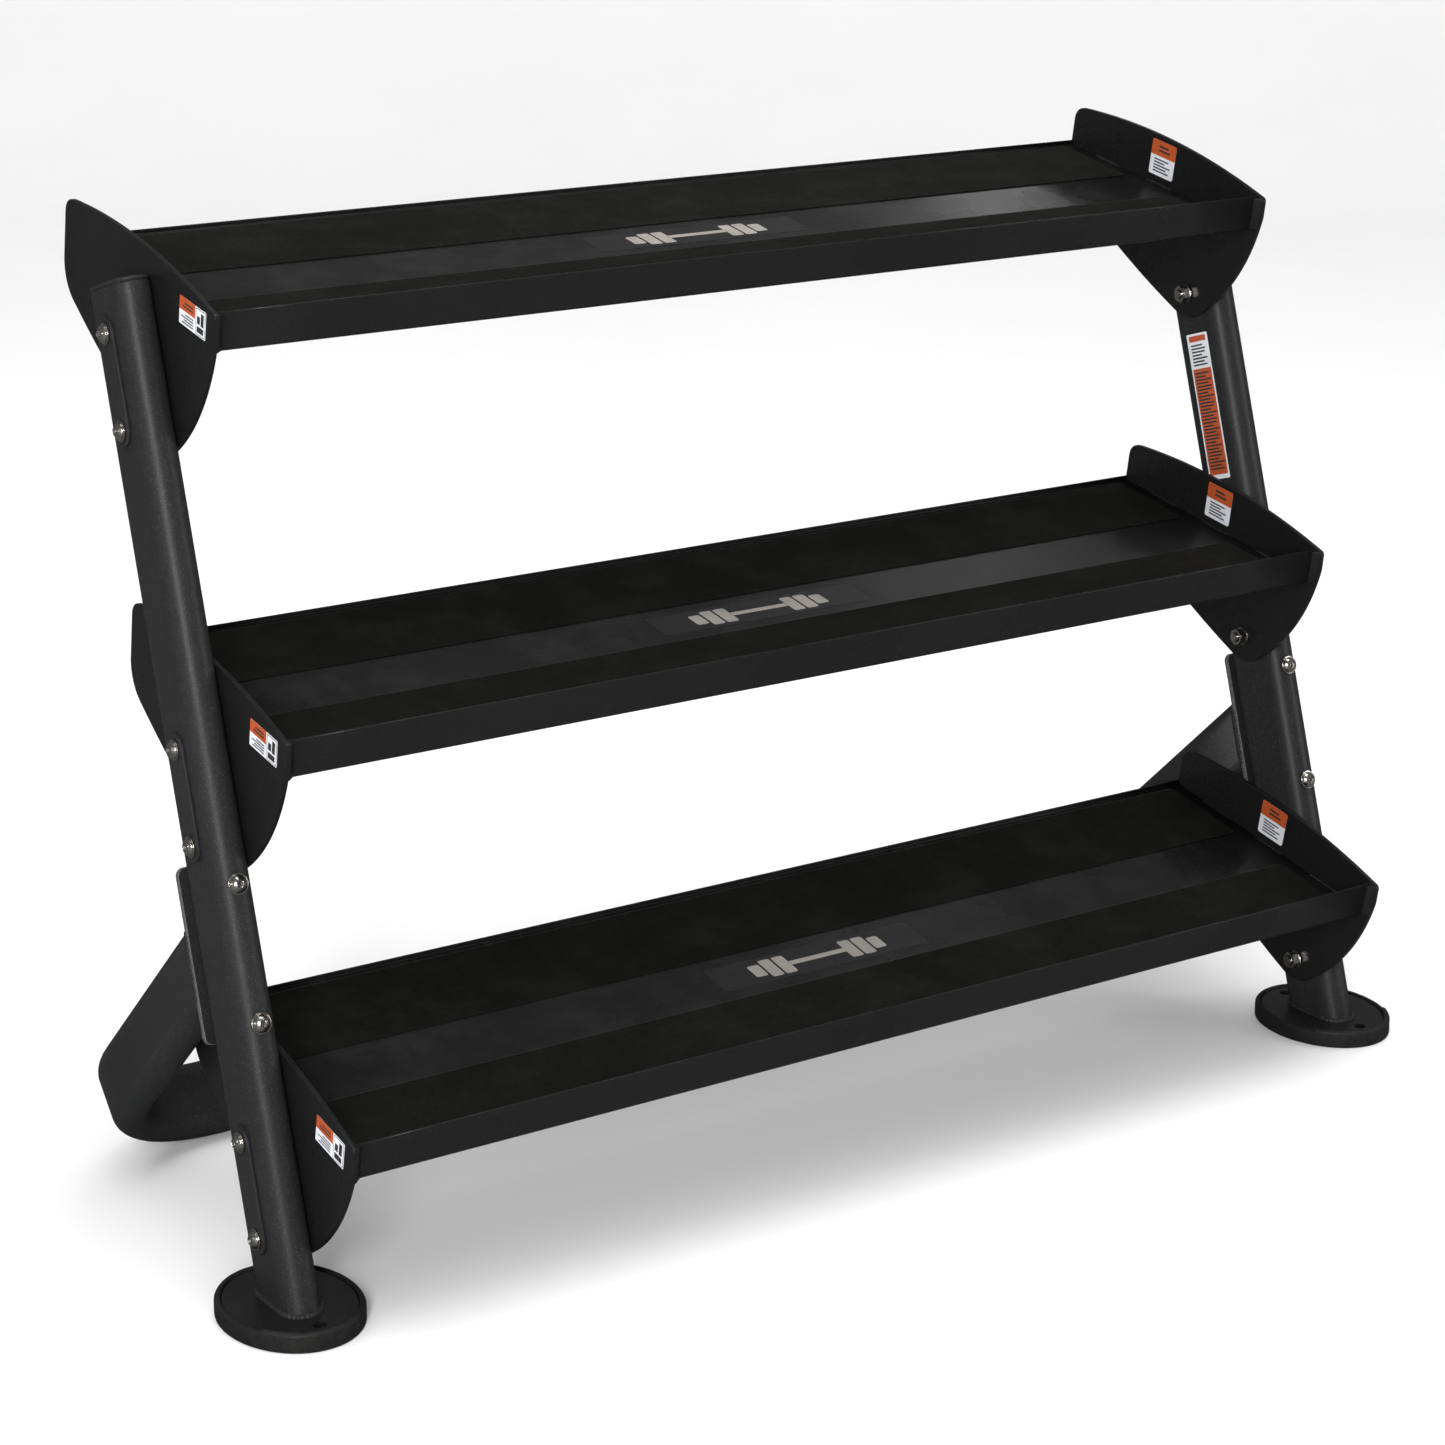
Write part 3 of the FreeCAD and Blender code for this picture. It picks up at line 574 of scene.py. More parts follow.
def make_pair(name, surfaces, finishes, nodes):
    """A right-hand piece and its mirror image, each standing for the CAD nodes of its own side."""
    make_piece("right_" + name, surfaces, finishes, ["right_" + node for node in nodes])
    left = [surface.mirrored() for surface in surfaces]
    make_piece("left_" + name, left, finishes, ["left_" + node for node in nodes])


def both_sides(surfaces):
    """The given surfaces and their mirror images."""
    return surfaces + [surface.mirrored() for surface in surfaces]


# ------------------------------------------------------------------ shader tools
class Nodes:
    """Short way to add nodes to a tree and to join them."""

    def __init__(self, tree):
        self.tree = tree

    def put(self, socket, value):
        """Join a socket to another one, or set its value."""
        if isinstance(value, bpy.types.NodeSocket):
            self.tree.links.new(value, socket)
        else:
            socket.default_value = value

    def add(self, kind, inputs, **settings):
        """A node with settings, and its inputs by name or number."""
        node = self.tree.nodes.new(kind)
        for key, value in settings.items():
            setattr(node, key, value)
        for key, value in inputs.items():
            self.put(node.inputs[key], value)
        return node

    def math(self, operation, a, b=0.0):
        """Arithmetic on two values."""
        return self.add("ShaderNodeMath", {0: a, 1: b}, operation=operation).outputs[0]

    def noise(self, place, scale, detail=2.0, roughness=0.5):
        """Soft noise from 0 to 1."""
        inputs = {"Vector": place, "Scale": scale, "Detail": detail, "Roughness": roughness}
        return self.add("ShaderNodeTexNoise", inputs).outputs[0]

    def spread(self, value, low, high):
        """A value eased from 0 at low to 1 at high."""
        inputs = {"Value": value, "From Min": low, "From Max": high}
        return self.add("ShaderNodeMapRange", inputs, interpolation_type="SMOOTHSTEP").outputs[0]

    def mix(self, factor, a, b):
        """A colour between two colours."""
        return self.add("ShaderNodeMix", {0: factor, 6: a, 7: b}, data_type="RGBA").outputs[2]

    def group(self, maker, inputs):
        """A shared node group with this material's own values, made when it is first needed."""
        name = maker.__name__
        if name not in bpy.data.node_groups:
            maker(name)
        node = self.tree.nodes.new("ShaderNodeGroup")
        node.node_tree = bpy.data.node_groups[name]
        for key, value in inputs.items():
            self.put(node.inputs[key], value)
        return node.outputs


def new_group(name, values, results):
    """Shader node group with a place, some values with defaults and some results."""
    tree = bpy.data.node_groups.new(name, "ShaderNodeTree")
    tree.interface.new_socket(name="Place", in_out="INPUT", socket_type="NodeSocketVector")
    for label, default in values.items():
        socket = tree.interface.new_socket(name=label, in_out="INPUT", socket_type="NodeSocketFloat")
        socket.default_value = default
    for label in results:
        tree.interface.new_socket(name=label, in_out="OUTPUT", socket_type="NodeSocketFloat")
    entry = tree.nodes.new("NodeGroupInput")
    end = tree.nodes.new("NodeGroupOutput")
    return Nodes(tree), entry.outputs, end.inputs


def surface_grain(name):
    """Powder-coat or rubber grain: fine and coarse noise added as a height, and a mask of hollows."""
    n, given, result = new_group(name, {"Fine": 900.0, "Coarse": 120.0}, ("Height", "Hollows"))
    fine = n.noise(given["Place"], given["Fine"])
    coarse = n.noise(given["Place"], given["Coarse"])
    height = n.math("ADD", n.math("MULTIPLY", fine, 0.6), n.math("MULTIPLY", coarse, 0.4))
    n.put(result["Height"], height)
    n.put(result["Hollows"], n.spread(height, 0.52, 0.40))


def tone_drift(name):
    """Slow change of tone: large soft patches with smaller ones inside them."""
    n, given, result = new_group(name, {"Scale": 6.0}, ("Tone",))
    n.put(result["Tone"], n.spread(n.noise(given["Place"], given["Scale"], 4.0, 0.55), 0.3, 0.7))


def metal_flecks(name):
    """Flecks in paint: round spots in the few cells of a cell pattern whose number is high."""
    n, given, result = new_group(name, {"Scale": 1500.0, "Share": 0.06}, ("Flecks",))
    cells = n.add("ShaderNodeTexVoronoi", {"Vector": given["Place"], "Scale": given["Scale"]})
    number = n.add("ShaderNodeSeparateColor", {0: cells.outputs["Color"]}).outputs[0]
    chosen = n.math("GREATER_THAN", number, n.math("SUBTRACT", 1.0, given["Share"]))
    spot = n.spread(cells.outputs["Distance"], 0.5, 0.25)
    n.put(result["Flecks"], n.math("MULTIPLY", chosen, spot))


def settled_dust(name):
    """Thin dust: patchy noise on the faces that look upwards."""
    n, given, result = new_group(name, {"Amount": 0.2}, ("Dust",))
    normal = n.add("ShaderNodeNewGeometry", {}).outputs["Normal"]
    up = n.add("ShaderNodeSeparateXYZ", {0: normal}).outputs[2]
    patches = n.spread(n.noise(given["Place"], 16.0, 6.0, 0.65), 0.40, 0.72)
    cover = n.math("MULTIPLY", n.spread(up, 0.4, 0.95), patches)
    n.put(result["Dust"], n.math("MULTIPLY", cover, given["Amount"]))


def hairlines(name):
    """Fine scratches: noise drawn out along one direction, kept only near its middle value."""
    n, given, result = new_group(name, {"Scale": 60.0}, ("Lines",))
    drawn = n.add("ShaderNodeMapping", {"Vector": given["Place"]})
    drawn.inputs["Rotation"].default_value = (0.3, 0.5, 0.4)
    drawn.inputs["Scale"].default_value = (0.06, 1.0, 1.0)
    noise = n.noise(drawn.outputs[0], given["Scale"], 4.0, 0.6)
    off = n.math("ABSOLUTE", n.math("SUBTRACT", noise, 0.5))
    n.put(result["Lines"], n.spread(off, 0.010, 0.002))


# ------------------------------------------------------------------ finishes
def rgba(values, factor=1.0):
    """A colour with its alpha, lightened by a factor."""
    return tuple(min(1.0, v * factor) for v in values) + (1.0,)


def new_finish(name, metallic=0.0, specular=0.5):
    """A new material: its tree's helper, its shader and the piece's own coordinates."""
    material = bpy.data.materials.new(name)
    material.use_nodes = True
    n = Nodes(material.node_tree)
    shader = material.node_tree.nodes["Principled BSDF"]
    shader.inputs["Metallic"].default_value = metallic
    shader.inputs["Specular IOR Level"].default_value = specular
    place = n.add("ShaderNodeTexCoord", {}).outputs["Object"]
    return n, shader.inputs, place


def add_relief(n, shader, height, strength, distance):
    """Relief from a height."""
    inputs = {"Height": height, "Strength": strength, "Distance": distance}
    n.put(shader["Normal"], n.add("ShaderNodeBump", inputs).outputs[0])


def painted(name, base, roughness, grain, relief, flecks, specular):
    """Powder coat: drifting tone, orange-peel relief, metal flecks, hairlines and a little dust."""
    n, shader, place = new_finish(name, specular=specular)
    drift = n.group(tone_drift, {"Place": place, "Scale": 5.0})["Tone"]
    texture = n.group(surface_grain, {"Place": place, "Fine": grain, "Coarse": grain / 7})
    speck = n.group(metal_flecks, {"Place": place, "Scale": 1300.0, "Share": flecks})["Flecks"]
    lines = n.group(hairlines, {"Place": place, "Scale": 45.0})["Lines"]
    dust = n.group(settled_dust, {"Place": place, "Amount": 0.05})["Dust"]
    tone = n.mix(drift, rgba(base, 0.9), rgba(base, 1.1))
    tone = n.mix(n.math("MULTIPLY", texture["Hollows"], 0.3), tone, rgba(base, 0.6))
    tone = n.mix(n.math("MULTIPLY", speck, 0.8), tone, rgba(base, 6.0))
    tone = n.mix(n.math("MULTIPLY", lines, 0.02), tone, rgba(base, 4.0))
    tone = n.mix(dust, tone, (0.15, 0.145, 0.135, 1.0))
    n.put(shader["Base Color"], tone)
    rough = n.math("ADD", roughness - 0.03, n.math("MULTIPLY", drift, 0.06))
    n.put(shader["Roughness"], n.math("ADD", rough, n.math("MULTIPLY", dust, 0.4)))
    add_relief(n, shader, texture["Height"], relief, 0.0003)


def rubber(name, base, roughness, fine, relief, dusty, specular):
    """Rubber: pebbled relief, dark hollows, faint rubbed patches and dust."""
    n, shader, place = new_finish(name, specular=specular)
    drift = n.group(tone_drift, {"Place": place, "Scale": 9.0})["Tone"]
    texture = n.group(surface_grain, {"Place": place, "Fine": fine, "Coarse": fine / 4})
    dust = n.group(settled_dust, {"Place": place, "Amount": dusty})["Dust"]
    tone = n.mix(drift, rgba(base, 0.85), rgba(base, 1.2))
    tone = n.mix(n.math("MULTIPLY", texture["Hollows"], 0.6), tone, rgba(base, 0.45))
    n.put(shader["Base Color"], n.mix(dust, tone, (0.11, 0.105, 0.095, 1.0)))
    n.put(shader["Roughness"], n.math("ADD", roughness, n.math("MULTIPLY", drift, 0.1)))
    add_relief(n, shader, texture["Height"], relief, 0.0006)


def plated(name, base):
    """Nickel plate: soft clouding in colour and roughness, hairlines and a faint relief."""
    n, shader, place = new_finish(name, metallic=1.0)
    drift = n.group(tone_drift, {"Place": place, "Scale": 120.0})["Tone"]
    lines = n.group(hairlines, {"Place": place, "Scale": 700.0})["Lines"]
    texture = n.group(surface_grain, {"Place": place, "Fine": 2500.0, "Coarse": 400.0})
    tone = n.mix(drift, rgba(base), rgba(base, 0.72))
    n.put(shader["Base Color"], n.mix(n.math("MULTIPLY", lines, 0.5), tone, rgba(base, 1.35)))
    rough = n.math("ADD", 0.15, n.math("MULTIPLY", drift, 0.14))
    n.put(shader["Roughness"], n.math("ADD", rough, n.math("MULTIPLY", lines, 0.15)))
    add_relief(n, shader, texture["Height"], 0.12, 0.0001)


def film(name, base, roughness):
    """Printed film: a fine screen of ink, a small unevenness and a slightly dulled face."""
    n, shader, place = new_finish(name, specular=0.4)
    drift = n.group(tone_drift, {"Place": place, "Scale": 35.0})["Tone"]
    texture = n.group(surface_grain, {"Place": place, "Fine": 2600.0, "Coarse": 300.0})
    tone = n.mix(drift, rgba(base, 0.9), rgba(base, 1.06))
    n.put(shader["Base Color"], n.mix(n.math("MULTIPLY", texture["Hollows"], 0.25), tone, rgba(base, 0.75)))
    n.put(shader["Roughness"], n.math("ADD", roughness, n.math("MULTIPLY", drift, 0.1)))
    add_relief(n, shader, texture["Height"], 0.08, 0.0001)


def finish(name):
    """A finish by name, made when a piece first asks for it, apart from the frame's own materials."""
    c = colours()
    makers = {
        "frame_paint": (painted, c.frame_paint, 0.42, 1300.0, 0.30, 0.10, 0.20),
        "shelf_paint": (painted, c.shelf_paint, 0.28, 900.0, 0.16, 0.012, 0.18),
        "plate_paint": (painted, c.plate_paint, 0.25, 1300.0, 0.20, 0.04, 0.30),
        # Painted highlight colour for the bracket plates' rims.
        "worn_edge": (painted, c.worn_edge, 0.40, 1300.0, 0.30, 0.10, 0.30),
        "mat_rubber": (rubber, c.mat, 0.72, 700.0, 0.40, 0.03, 0.08),
        # Painted highlight along the mats' rear cut edges.
        "cut_rubber": (rubber, c.cut, 0.6, 900.0, 0.5, 0.03, 0.3),
        "foot_rubber": (rubber, c.foot, 0.50, 500.0, 0.25, 0.05, 0.2),
        "bright_steel": (plated, c.steel),
        "label_white": (film, c.white, 0.38),
        "label_orange": (film, c.orange, 0.38),
        "label_ink": (film, c.ink, 0.42),
        "badge_film": (film, c.badge, 0.30),
        "badge_silver": (film, c.silver, 0.36),
    }
    made = "rack_" + name
    if made not in bpy.data.materials:
        maker, *values = makers[name]
        maker(made, *values)
    return bpy.data.materials[made]


# ------------------------------------------------------------------ pieces
class PieceOperator:
    """What every operator of the rack shares: it builds its pieces and reports that it is done."""

    bl_options = {"REGISTER", "UNDO"}

    def execute(self, context):
        """Build the pieces."""
        self.build(sizes())
        return {"FINISHED"}


class RACK_OT_uprights(PieceOperator, bpy.types.Operator):
    """Leaning uprights: a flat oval carried up their axis from the base plate to the cap"""

    bl_idname = "rack.uprights"
    bl_label = "Uprights"

    def build(self, s):
        """The lowest ring lies on the level base plate, the others square to the axis."""
        loop = oval(s.tube_width, s.tube_depth)
        top = upright_length()
        foot = upright_foot(loop)
        cut_round = 0.0006
        rings = [level(loop, z) for z in (foot, foot + 0.002, top / 2, top - 0.003)]
        for k in np.linspace(0, np.pi / 2, 4):
            inset = cut_round * (1 - np.cos(k))
            rings.append(level(shrunk(loop, inset), top - cut_round * (1 - np.sin(k))))
        tube = skin(rings)
        tube.points[:, 0] += upright_x()
        own = tube.placed(upright_frame())
        make_pair("upright_skin", [own], ["frame_paint"], ["upright_tube"])


def upright_foot(loop):
    """Height along the upright, for each point of its outline, where it meets the level base plate."""
    s = sizes()
    base_top = s.pad_floor + s.base_thickness
    return (base_top + loop[:, 1] * math.sin(s.lean)) / math.cos(s.lean)


class RACK_OT_caps(PieceOperator, bpy.types.Operator):
    """Lids on the uprights: a flat oval with a groove below it and a rounded rim"""

    bl_idname = "rack.caps"
    bl_label = "Top caps"

    def build(self, s):
        """Rings go up from the groove to the wall and in over a quarter-round rim."""
        loop = oval(s.tube_width, s.tube_depth)
        low = upright_length()
        high = low + s.cap_thickness
        groove = s.cap_groove
        steps = [(groove, low - 0.0005), (groove, low + 0.6 * groove), (0, low + groove)]
        t = np.linspace(0, np.pi / 2, 7)
        r = s.cap_round
        steps += [(r * (1 - math.cos(k)), high - r * (1 - math.sin(k))) for k in t]
        steps += [(r + 0.002, high)]
        lid = skin([level(shrunk(loop, inset), z) for inset, z in steps])
        lid.points[:, 0] += upright_x()
        own = lid.placed(upright_frame())
        make_pair("cap_skin", [own], ["frame_paint"], ["upright_top_cap"])


class RACK_OT_feet(PieceOperator, bpy.types.Operator):
    """Rubber feet: ellipses stacked from the underside over a rounded rim and down into the recess"""

    bl_idname = "rack.feet"
    bl_label = "Feet"

    def build(self, s):
        """The rim's height is raised along its front by a step eased over two millimetres."""
        loop = ellipse(s.tube_width + 2 * s.pad_beside, s.tube_depth + 2 * s.pad_beyond, 300)
        left_limit, right_limit, ramp = (-0.0455, -0.0405, 0.0016)
        limit = np.where(loop[:, 0] < 0, left_limit, right_limit)
        raised = np.clip((limit - loop[:, 1]) / ramp + 0.5, 0, 1)
        rim = s.pad_height + s.rim_step * raised
        foot_round, top_round, inner_round = (0.002, 0.004, 0.0012)
        rings = []
        for k in np.linspace(0, np.pi / 2, 5):
            inset = foot_round * (1 - np.sin(k))
            rings.append(level(shrunk(loop, inset), foot_round * (1 - np.cos(k))))
        for k in np.linspace(0, np.pi / 2, 8):
            inset = top_round * (1 - np.cos(k))
            rings.append(level(shrunk(loop, inset), rim - top_round * (1 - np.sin(k))))
        for k in np.linspace(0, np.pi / 2, 5):
            inset = s.pad_rim - inner_round * (1 - np.sin(k))
            rings.append(level(shrunk(loop, inset), rim - inner_round * (1 - np.cos(k))))
        rings.append(level(shrunk(loop, s.pad_rim), s.pad_floor + 0.0005))
        rings.append(level(shrunk(loop, s.pad_rim + 0.0003), s.pad_floor))
        foot = skin(rings)
        place = upright_frame()[:3, 3] + (0, s.foot_back, 0)
        for side, sign in (("right", 1), ("left", -1)):
            shift = place + (sign * upright_x(), 0, 0)
            own = Surface(foot.points + shift, foot.faces, foot.smooth, foot.finish)
            node = side + "_rubber_foot"
            cover(node, [own], ["foot_rubber"], "foot_rubber")
            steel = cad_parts[side + "_base_plate"]
            for entry in steel.material_slots:
                entry.material = finish("plate_paint")


class RACK_OT_rear_frame(PieceOperator, bpy.types.Operator):
    """Bent rear tube and its two bracket plates: a flat oval swept down a leg, along the floor and up"""

    bl_idname = "rack.rear_frame"
    bl_label = "Rear frame"

    def build(self, s):
        """At bend angle t the path heads along (-sin t, -cos t), and the oval's width lies across it."""
        loop = oval(s.tube_width, s.tube_depth)
        r = s.leg_bend
        middle = leg_x() - r
        right = np.linspace(0, np.pi / 2, 19)
        left = np.linspace(np.pi / 2, np.pi, 19)
        t = np.concatenate([[0, 0], right, [np.pi / 2] * 3, left, [np.pi] * 2])
        run = [middle * 0.98, 0, -middle * 0.98]
        bends = (middle + r * np.cos(right), -middle + r * np.cos(left))
        x = np.concatenate([[leg_x()] * 2, bends[0], run, bends[1], [-leg_x()] * 2])
        leg = [0.3, r + 0.003]
        falls = (r - r * np.sin(right), r - r * np.sin(left))
        z = np.concatenate([leg, falls[0], [0] * 3, falls[1], leg[::-1]])
        across = np.stack([-np.cos(t), np.zeros(len(t)), np.sin(t)], 1)
        path = np.stack([x, np.zeros(len(t)), z], 1)
        rings = path[:, None, :] + loop[None, :, :1] * across[:, None, :]
        rings = rings + loop[None, :, 1:] * np.array([0.0, 1.0, 0.0])
        rings[0, :, 2] = leg_top(rings[0])
        rings[-1, :, 2] = leg_top(rings[-1])
        tube = skin(rings).placed(leg_frame())
        make_piece("rear_frame_skin", [tube], ["frame_paint"], ["rear_frame_tube"])
        low = s.bracket_bolt - s.bracket_margin
        high = s.bracket_bolt + s.bracket_pair + s.bracket_margin
        half = s.bracket_width / 2
        outline = rectangle((-half, low), (half, high), s.bracket_corner)
        # The plates' rims get the painted highlight colour.
        flat = plate(outline, -bracket_back(), -s.tube_depth / 2 + 0.0001, 0.0008, rim=1)
        stand = frame_at((leg_x(), 0, 0), (1, 0, 0), (0, 0, 1), (0, -1, 0))
        make_pair("bracket_skin", [flat.placed(upright_frame() @ stand)], ["frame_paint", "worn_edge"],
                  ["rear_bracket_plate"])


def leg_top(ring):
    """Height in the leg frame where each point of a leg's outline meets the back of its bracket."""
    matrix = np.linalg.inv(upright_frame()) @ leg_frame()
    across = matrix[1, 0] * ring[:, 0] + matrix[1, 1] * ring[:, 1]
    return (bracket_back() - matrix[1, 3] - across) / matrix[1, 2]


class RACK_OT_trays(PieceOperator, bpy.types.Operator):
    """Bent sheet trays: a rounded sheet outline carried from end plate to end plate"""

    bl_idname = "rack.trays"
    bl_label = "Shelf trays"

    def build(self, s):
        """The outline runs down the lip, back under the floor, up the rear edge and forward inside."""
        low = -s.lip_height
        back = s.shelf_depth
        corners = [
            (0, 0), (0, low), (back, low), (back, low + s.rear_edge), (back - s.sheet, low + s.rear_edge),
            (back - s.sheet, tray_floor()), (s.sheet, tray_floor()), (s.sheet, 0),
        ]
        inside = s.bend - s.sheet
        loop = filleted(corners, (0.001, s.bend, s.bend, 0.0008, 0.0008, inside, inside, 0.001))
        places = np.linspace(-plate_inside(), plate_inside(), 9)
        tray = skin([level(loop, x) for x in places]).placed(laid_along_x(0))
        for shelf in SHELVES:
            node = shelf + "_shelf_tray"
            own = tray.placed(shelf_frame(shelf))
            cover(node, [own], ["shelf_paint"], "shelf_paint")


class RACK_OT_end_plates(PieceOperator, bpy.types.Operator):
    """End plates of the shelves: an arched outline with rounded cut edges"""

    bl_idname = "rack.end_plates"
    bl_label = "End plates"

    def build(self, s):
        """One outline serves every shelf."""
        flat = plate(end_plate_outline(), plate_inside(), plate_outside(), s.plate_edge)
        for shelf in SHELVES:
            own = flat.placed(shelf_frame(shelf) @ laid_along_x(0))
            node = shelf + "_end_plate"
            make_pair(node + "_skin", [own], ["shelf_paint"], [node])


class RACK_OT_mats(PieceOperator, bpy.types.Operator):
    """Rubber mats: thin rounded rectangles on the tray floors"""

    bl_idname = "rack.mats"
    bl_label = "Mats"

    def build(self, s):
        """Two mats to a shelf; only their rear edges get the lighter colour, a painted highlight along the
        cut edge.
        """
        reach = plate_inside() - s.mat_end_gap
        for place, (front, rear) in zip(MAT_PLACES, mat_spans()):
            outline = rectangle((-reach, front), (reach, rear), s.mat_corner)
            flat = plate(outline, tray_floor(), tray_floor() + s.mat_thickness, s.mat_round, rim=1)
            corners = flat.points[[face[0] for face in flat.faces]]
            # Only the rim faces along the rear edge keep the painted highlight; every other face takes the
            # mat's own colour.
            flat.finish = np.where(corners[:, 1] > rear - s.mat_round - 0.0001, flat.finish, 0).tolist()
            for shelf in SHELVES:
                node = shelf + "_" + place + "_mat"
                cover(node, [flat.placed(shelf_frame(shelf))], ["mat_rubber", "cut_rubber"], "mat_rubber")


class RACK_OT_strips(PieceOperator, bpy.types.Operator):
    """Doubler strips under the side bolts: flat ovals with rounded edges"""

    bl_idname = "rack.strips"
    bl_label = "Doubler strips"

    def build(self, s):
        """Each strip lies on the upright's outer flat over two bolts."""
        width = s.tube_depth - s.tube_width - 2 * s.strip_inset
        outline = oval(width, s.bolt_pair + 2 * s.strip_end)
        flat = plate(outline, 0, s.strip_thickness, 0.0008)
        for shelf in SHELVES:
            own = flat.placed(laid_along_x(upright_outside()))
            own.points[:, 2] += shelf_bolt(shelf) + s.bolt_pair / 2
            node = shelf + "_doubler_strip"
            make_pair(node + "_skin", [own.placed(upright_frame())], ["frame_paint"], [node])


def button_bolt(shank):
    """Bolt turned about z, its head's underside at z = 0, as one run of rings.

    Thread ridges rise and fall along the end, the dome is part of a sphere through the head's
    rim and top, and the last rings turn from circles into the hexagon socket.
    """
    s = sizes()
    r = s.bolt_radius
    head = s.head_radius
    sphere = (head**2 + s.head_height**2) / (2 * s.head_height)
    middle = s.head_height - sphere
    top = s.head_height - 0.0005
    rim = 0.0003
    thread_depth = 0.0007
    profile = [(r - 0.0012, -shank), (r - 0.0004, -shank + 0.0009)]
    z = -shank + 0.0011
    for _ in range(7):
        profile += [(r, z), (r - thread_depth, z + s.thread_pitch / 2)]
        z += s.thread_pitch
    profile += [(r, z), (r, -0.0002), (head - rim, 0), (head, rim)]
    start = math.asin((rim - middle) / sphere)
    end = math.asin((top - middle) / sphere)
    for k in np.linspace(start, end, 10)[1:]:
        profile.append((sphere * math.cos(k), middle + sphere * math.sin(k)))
    rings = [level(circle(a), b) for a, b in profile]
    unit = circle(1.0)
    rings.append(level(circle(s.socket_across / math.sqrt(3) + 0.0004), top))
    hexagon = unit * hexagon_reach(s.socket_across)[:, None]
    for drop in (0.0002, s.socket_depth):
        rings.append(level(hexagon, top - drop))
    return skin(rings)


def washer():
    """Washer on z = 0 as a closed run of rings: outer wall, rounded rim, bore."""
    s = sizes()
    outer = s.washer_radius
    bore = s.bolt_radius + 0.0005
    thick = s.washer_thickness
    rim = 0.0004
    profile = [(outer, 0.0), (outer, thick - rim), (outer - 0.0001, thick - 0.00015), (outer - rim, thick)]
    return lathe(profile + [(bore, thick), (bore, 0.0)])


def nut():
    """Nut on z = 0: hexagon rings whose upper edge follows a 30 degree cone, and a round bore."""
    s = sizes()
    unit = circle(1.0)
    reach = hexagon_reach(s.nut_across)
    touch = s.nut_across / 2 - 0.0006
    fall = np.maximum(reach - touch, 0) * math.tan(math.radians(30))
    bore = circle(s.bolt_radius + 0.0001)
    hexagon = unit * reach[:, None]
    rings = [
        level(hexagon, 0.0),
        level(hexagon, s.nut_height - fall),
        level(unit * touch, s.nut_height),
        level(bore * 1.15, s.nut_height),
        level(bore, s.nut_height - 0.0006),
        level(bore, 0.0),
    ]
    body = skin(rings, closed=True)
    body.smooth = [False] * len(body.faces)
    return body


class RACK_OT_fasteners(PieceOperator, bpy.types.Operator):
    """Bright bolts, washers and nuts at the shelves and at the rear brackets"""

    bl_idname = "rack.fasteners"
    bl_label = "Fasteners"

    def build(self, s):
        """Side fasteners lie along x, front ones along the upright's y."""
        seat = upright_outside() + s.strip_thickness
        grip = seat + 2 * s.washer_thickness - plate_inside()
        outward = frame_at((0, 0, 0), (0, 1, 0), (0, 0, 1), (1, 0, 0))
        inward = frame_at((0, 0, 0), (0, 0, 1), (0, 1, 0), (-1, 0, 0))
        bolt = button_bolt(grip + s.nut_height + s.bolt_proud)
        kinds = (
            ("shelf_bolts", bolt, seat + s.washer_thickness, outward),
            ("shelf_bolt_outer_washers", washer(), seat, outward),
            ("shelf_bolt_inner_washers", washer(), plate_inside(), inward),
            ("shelf_bolt_nuts", nut(), plate_inside() - s.washer_thickness, inward),
        )
        for node, shape, x, turn in kinds:
            copies = []
            for shelf in SHELVES:
                for height in (0, s.bolt_pair):
                    place = turn.copy()
                    place[:3, 3] = (x, 0, shelf_bolt(shelf) + height)
                    spin = spun(0.7 + 2.3 * len(copies))
                    copies.append(shape.placed(upright_frame() @ place @ spin))
            cover(node, both_sides(copies), ["bright_steel"], "bright_steel")
        forward = frame_at((0, 0, 0), (1, 0, 0), (0, 0, 1), (0, -1, 0))
        shank = s.tube_depth / 2 + s.washer_thickness + bracket_back() + 0.0008
        kinds = (
            ("bracket_bolts", button_bolt(shank), s.tube_depth / 2 + s.washer_thickness),
            ("bracket_bolt_washers", washer(), s.tube_depth / 2),
        )
        for node, shape, seat in kinds:
            copies = []
            for height in (0, s.bracket_pair):
                place = forward.copy()
                place[:3, 3] = (upright_x(), -seat, s.bracket_bolt + height)
                copies.append(shape.placed(upright_frame() @ place @ spun(0.4 + 1.9 * len(copies))))
            cover(node, both_sides(copies), ["bright_steel"], "bright_steel")


def spun(turn):
    """Frame turned about z, so that no two sockets stand alike."""
    c = math.cos(turn)
    s = math.sin(turn)
    return frame_at((0, 0, 0), (c, s, 0), (-s, c, 0), (0, 0, 1))


def printed(low, high, radius, base, fields):
    """A film with coloured fields on it, each a thin plate a little higher than the film.

    A field is (left, right, bottom, top) as shares of the film, with its finish and its layer.
    """
    s = sizes()
    surfaces = [plate(rectangle(low, high, radius), 0, s.label, 0.00008, base, 2)]
    span = np.array(high) - np.array(low)
    for left, right, bottom, top, kind, layer in fields:
        a = np.array(low) + span * (left, bottom)
        b = np.array(low) + span * (right, top)
        outline = rectangle(a, b, min(radius * 0.5, 0.4 * min(b - a)), 3)
        surfaces.append(plate(outline, s.label - 0.0001, s.label + 0.00005 * layer, 0.00002, kind, 1))
    return surfaces


def text_rows(left, right, bottom, top, rows, kind, layer):
    """Neutral bars where a label has lines, each row a little shorter or longer than the last."""
    fields = []
    pitch = (top - bottom) / rows
    for k in range(rows):
        end = right - (right - left) * (0.06, 0.22, 0.0, 0.34, 0.12)[k % 5]
        base = bottom + k * pitch
        fields.append((left, end, base + 0.25 * pitch, base + 0.75 * pitch, kind, layer))
    return fields


FILMS = ["label_white", "label_orange", "label_ink"]


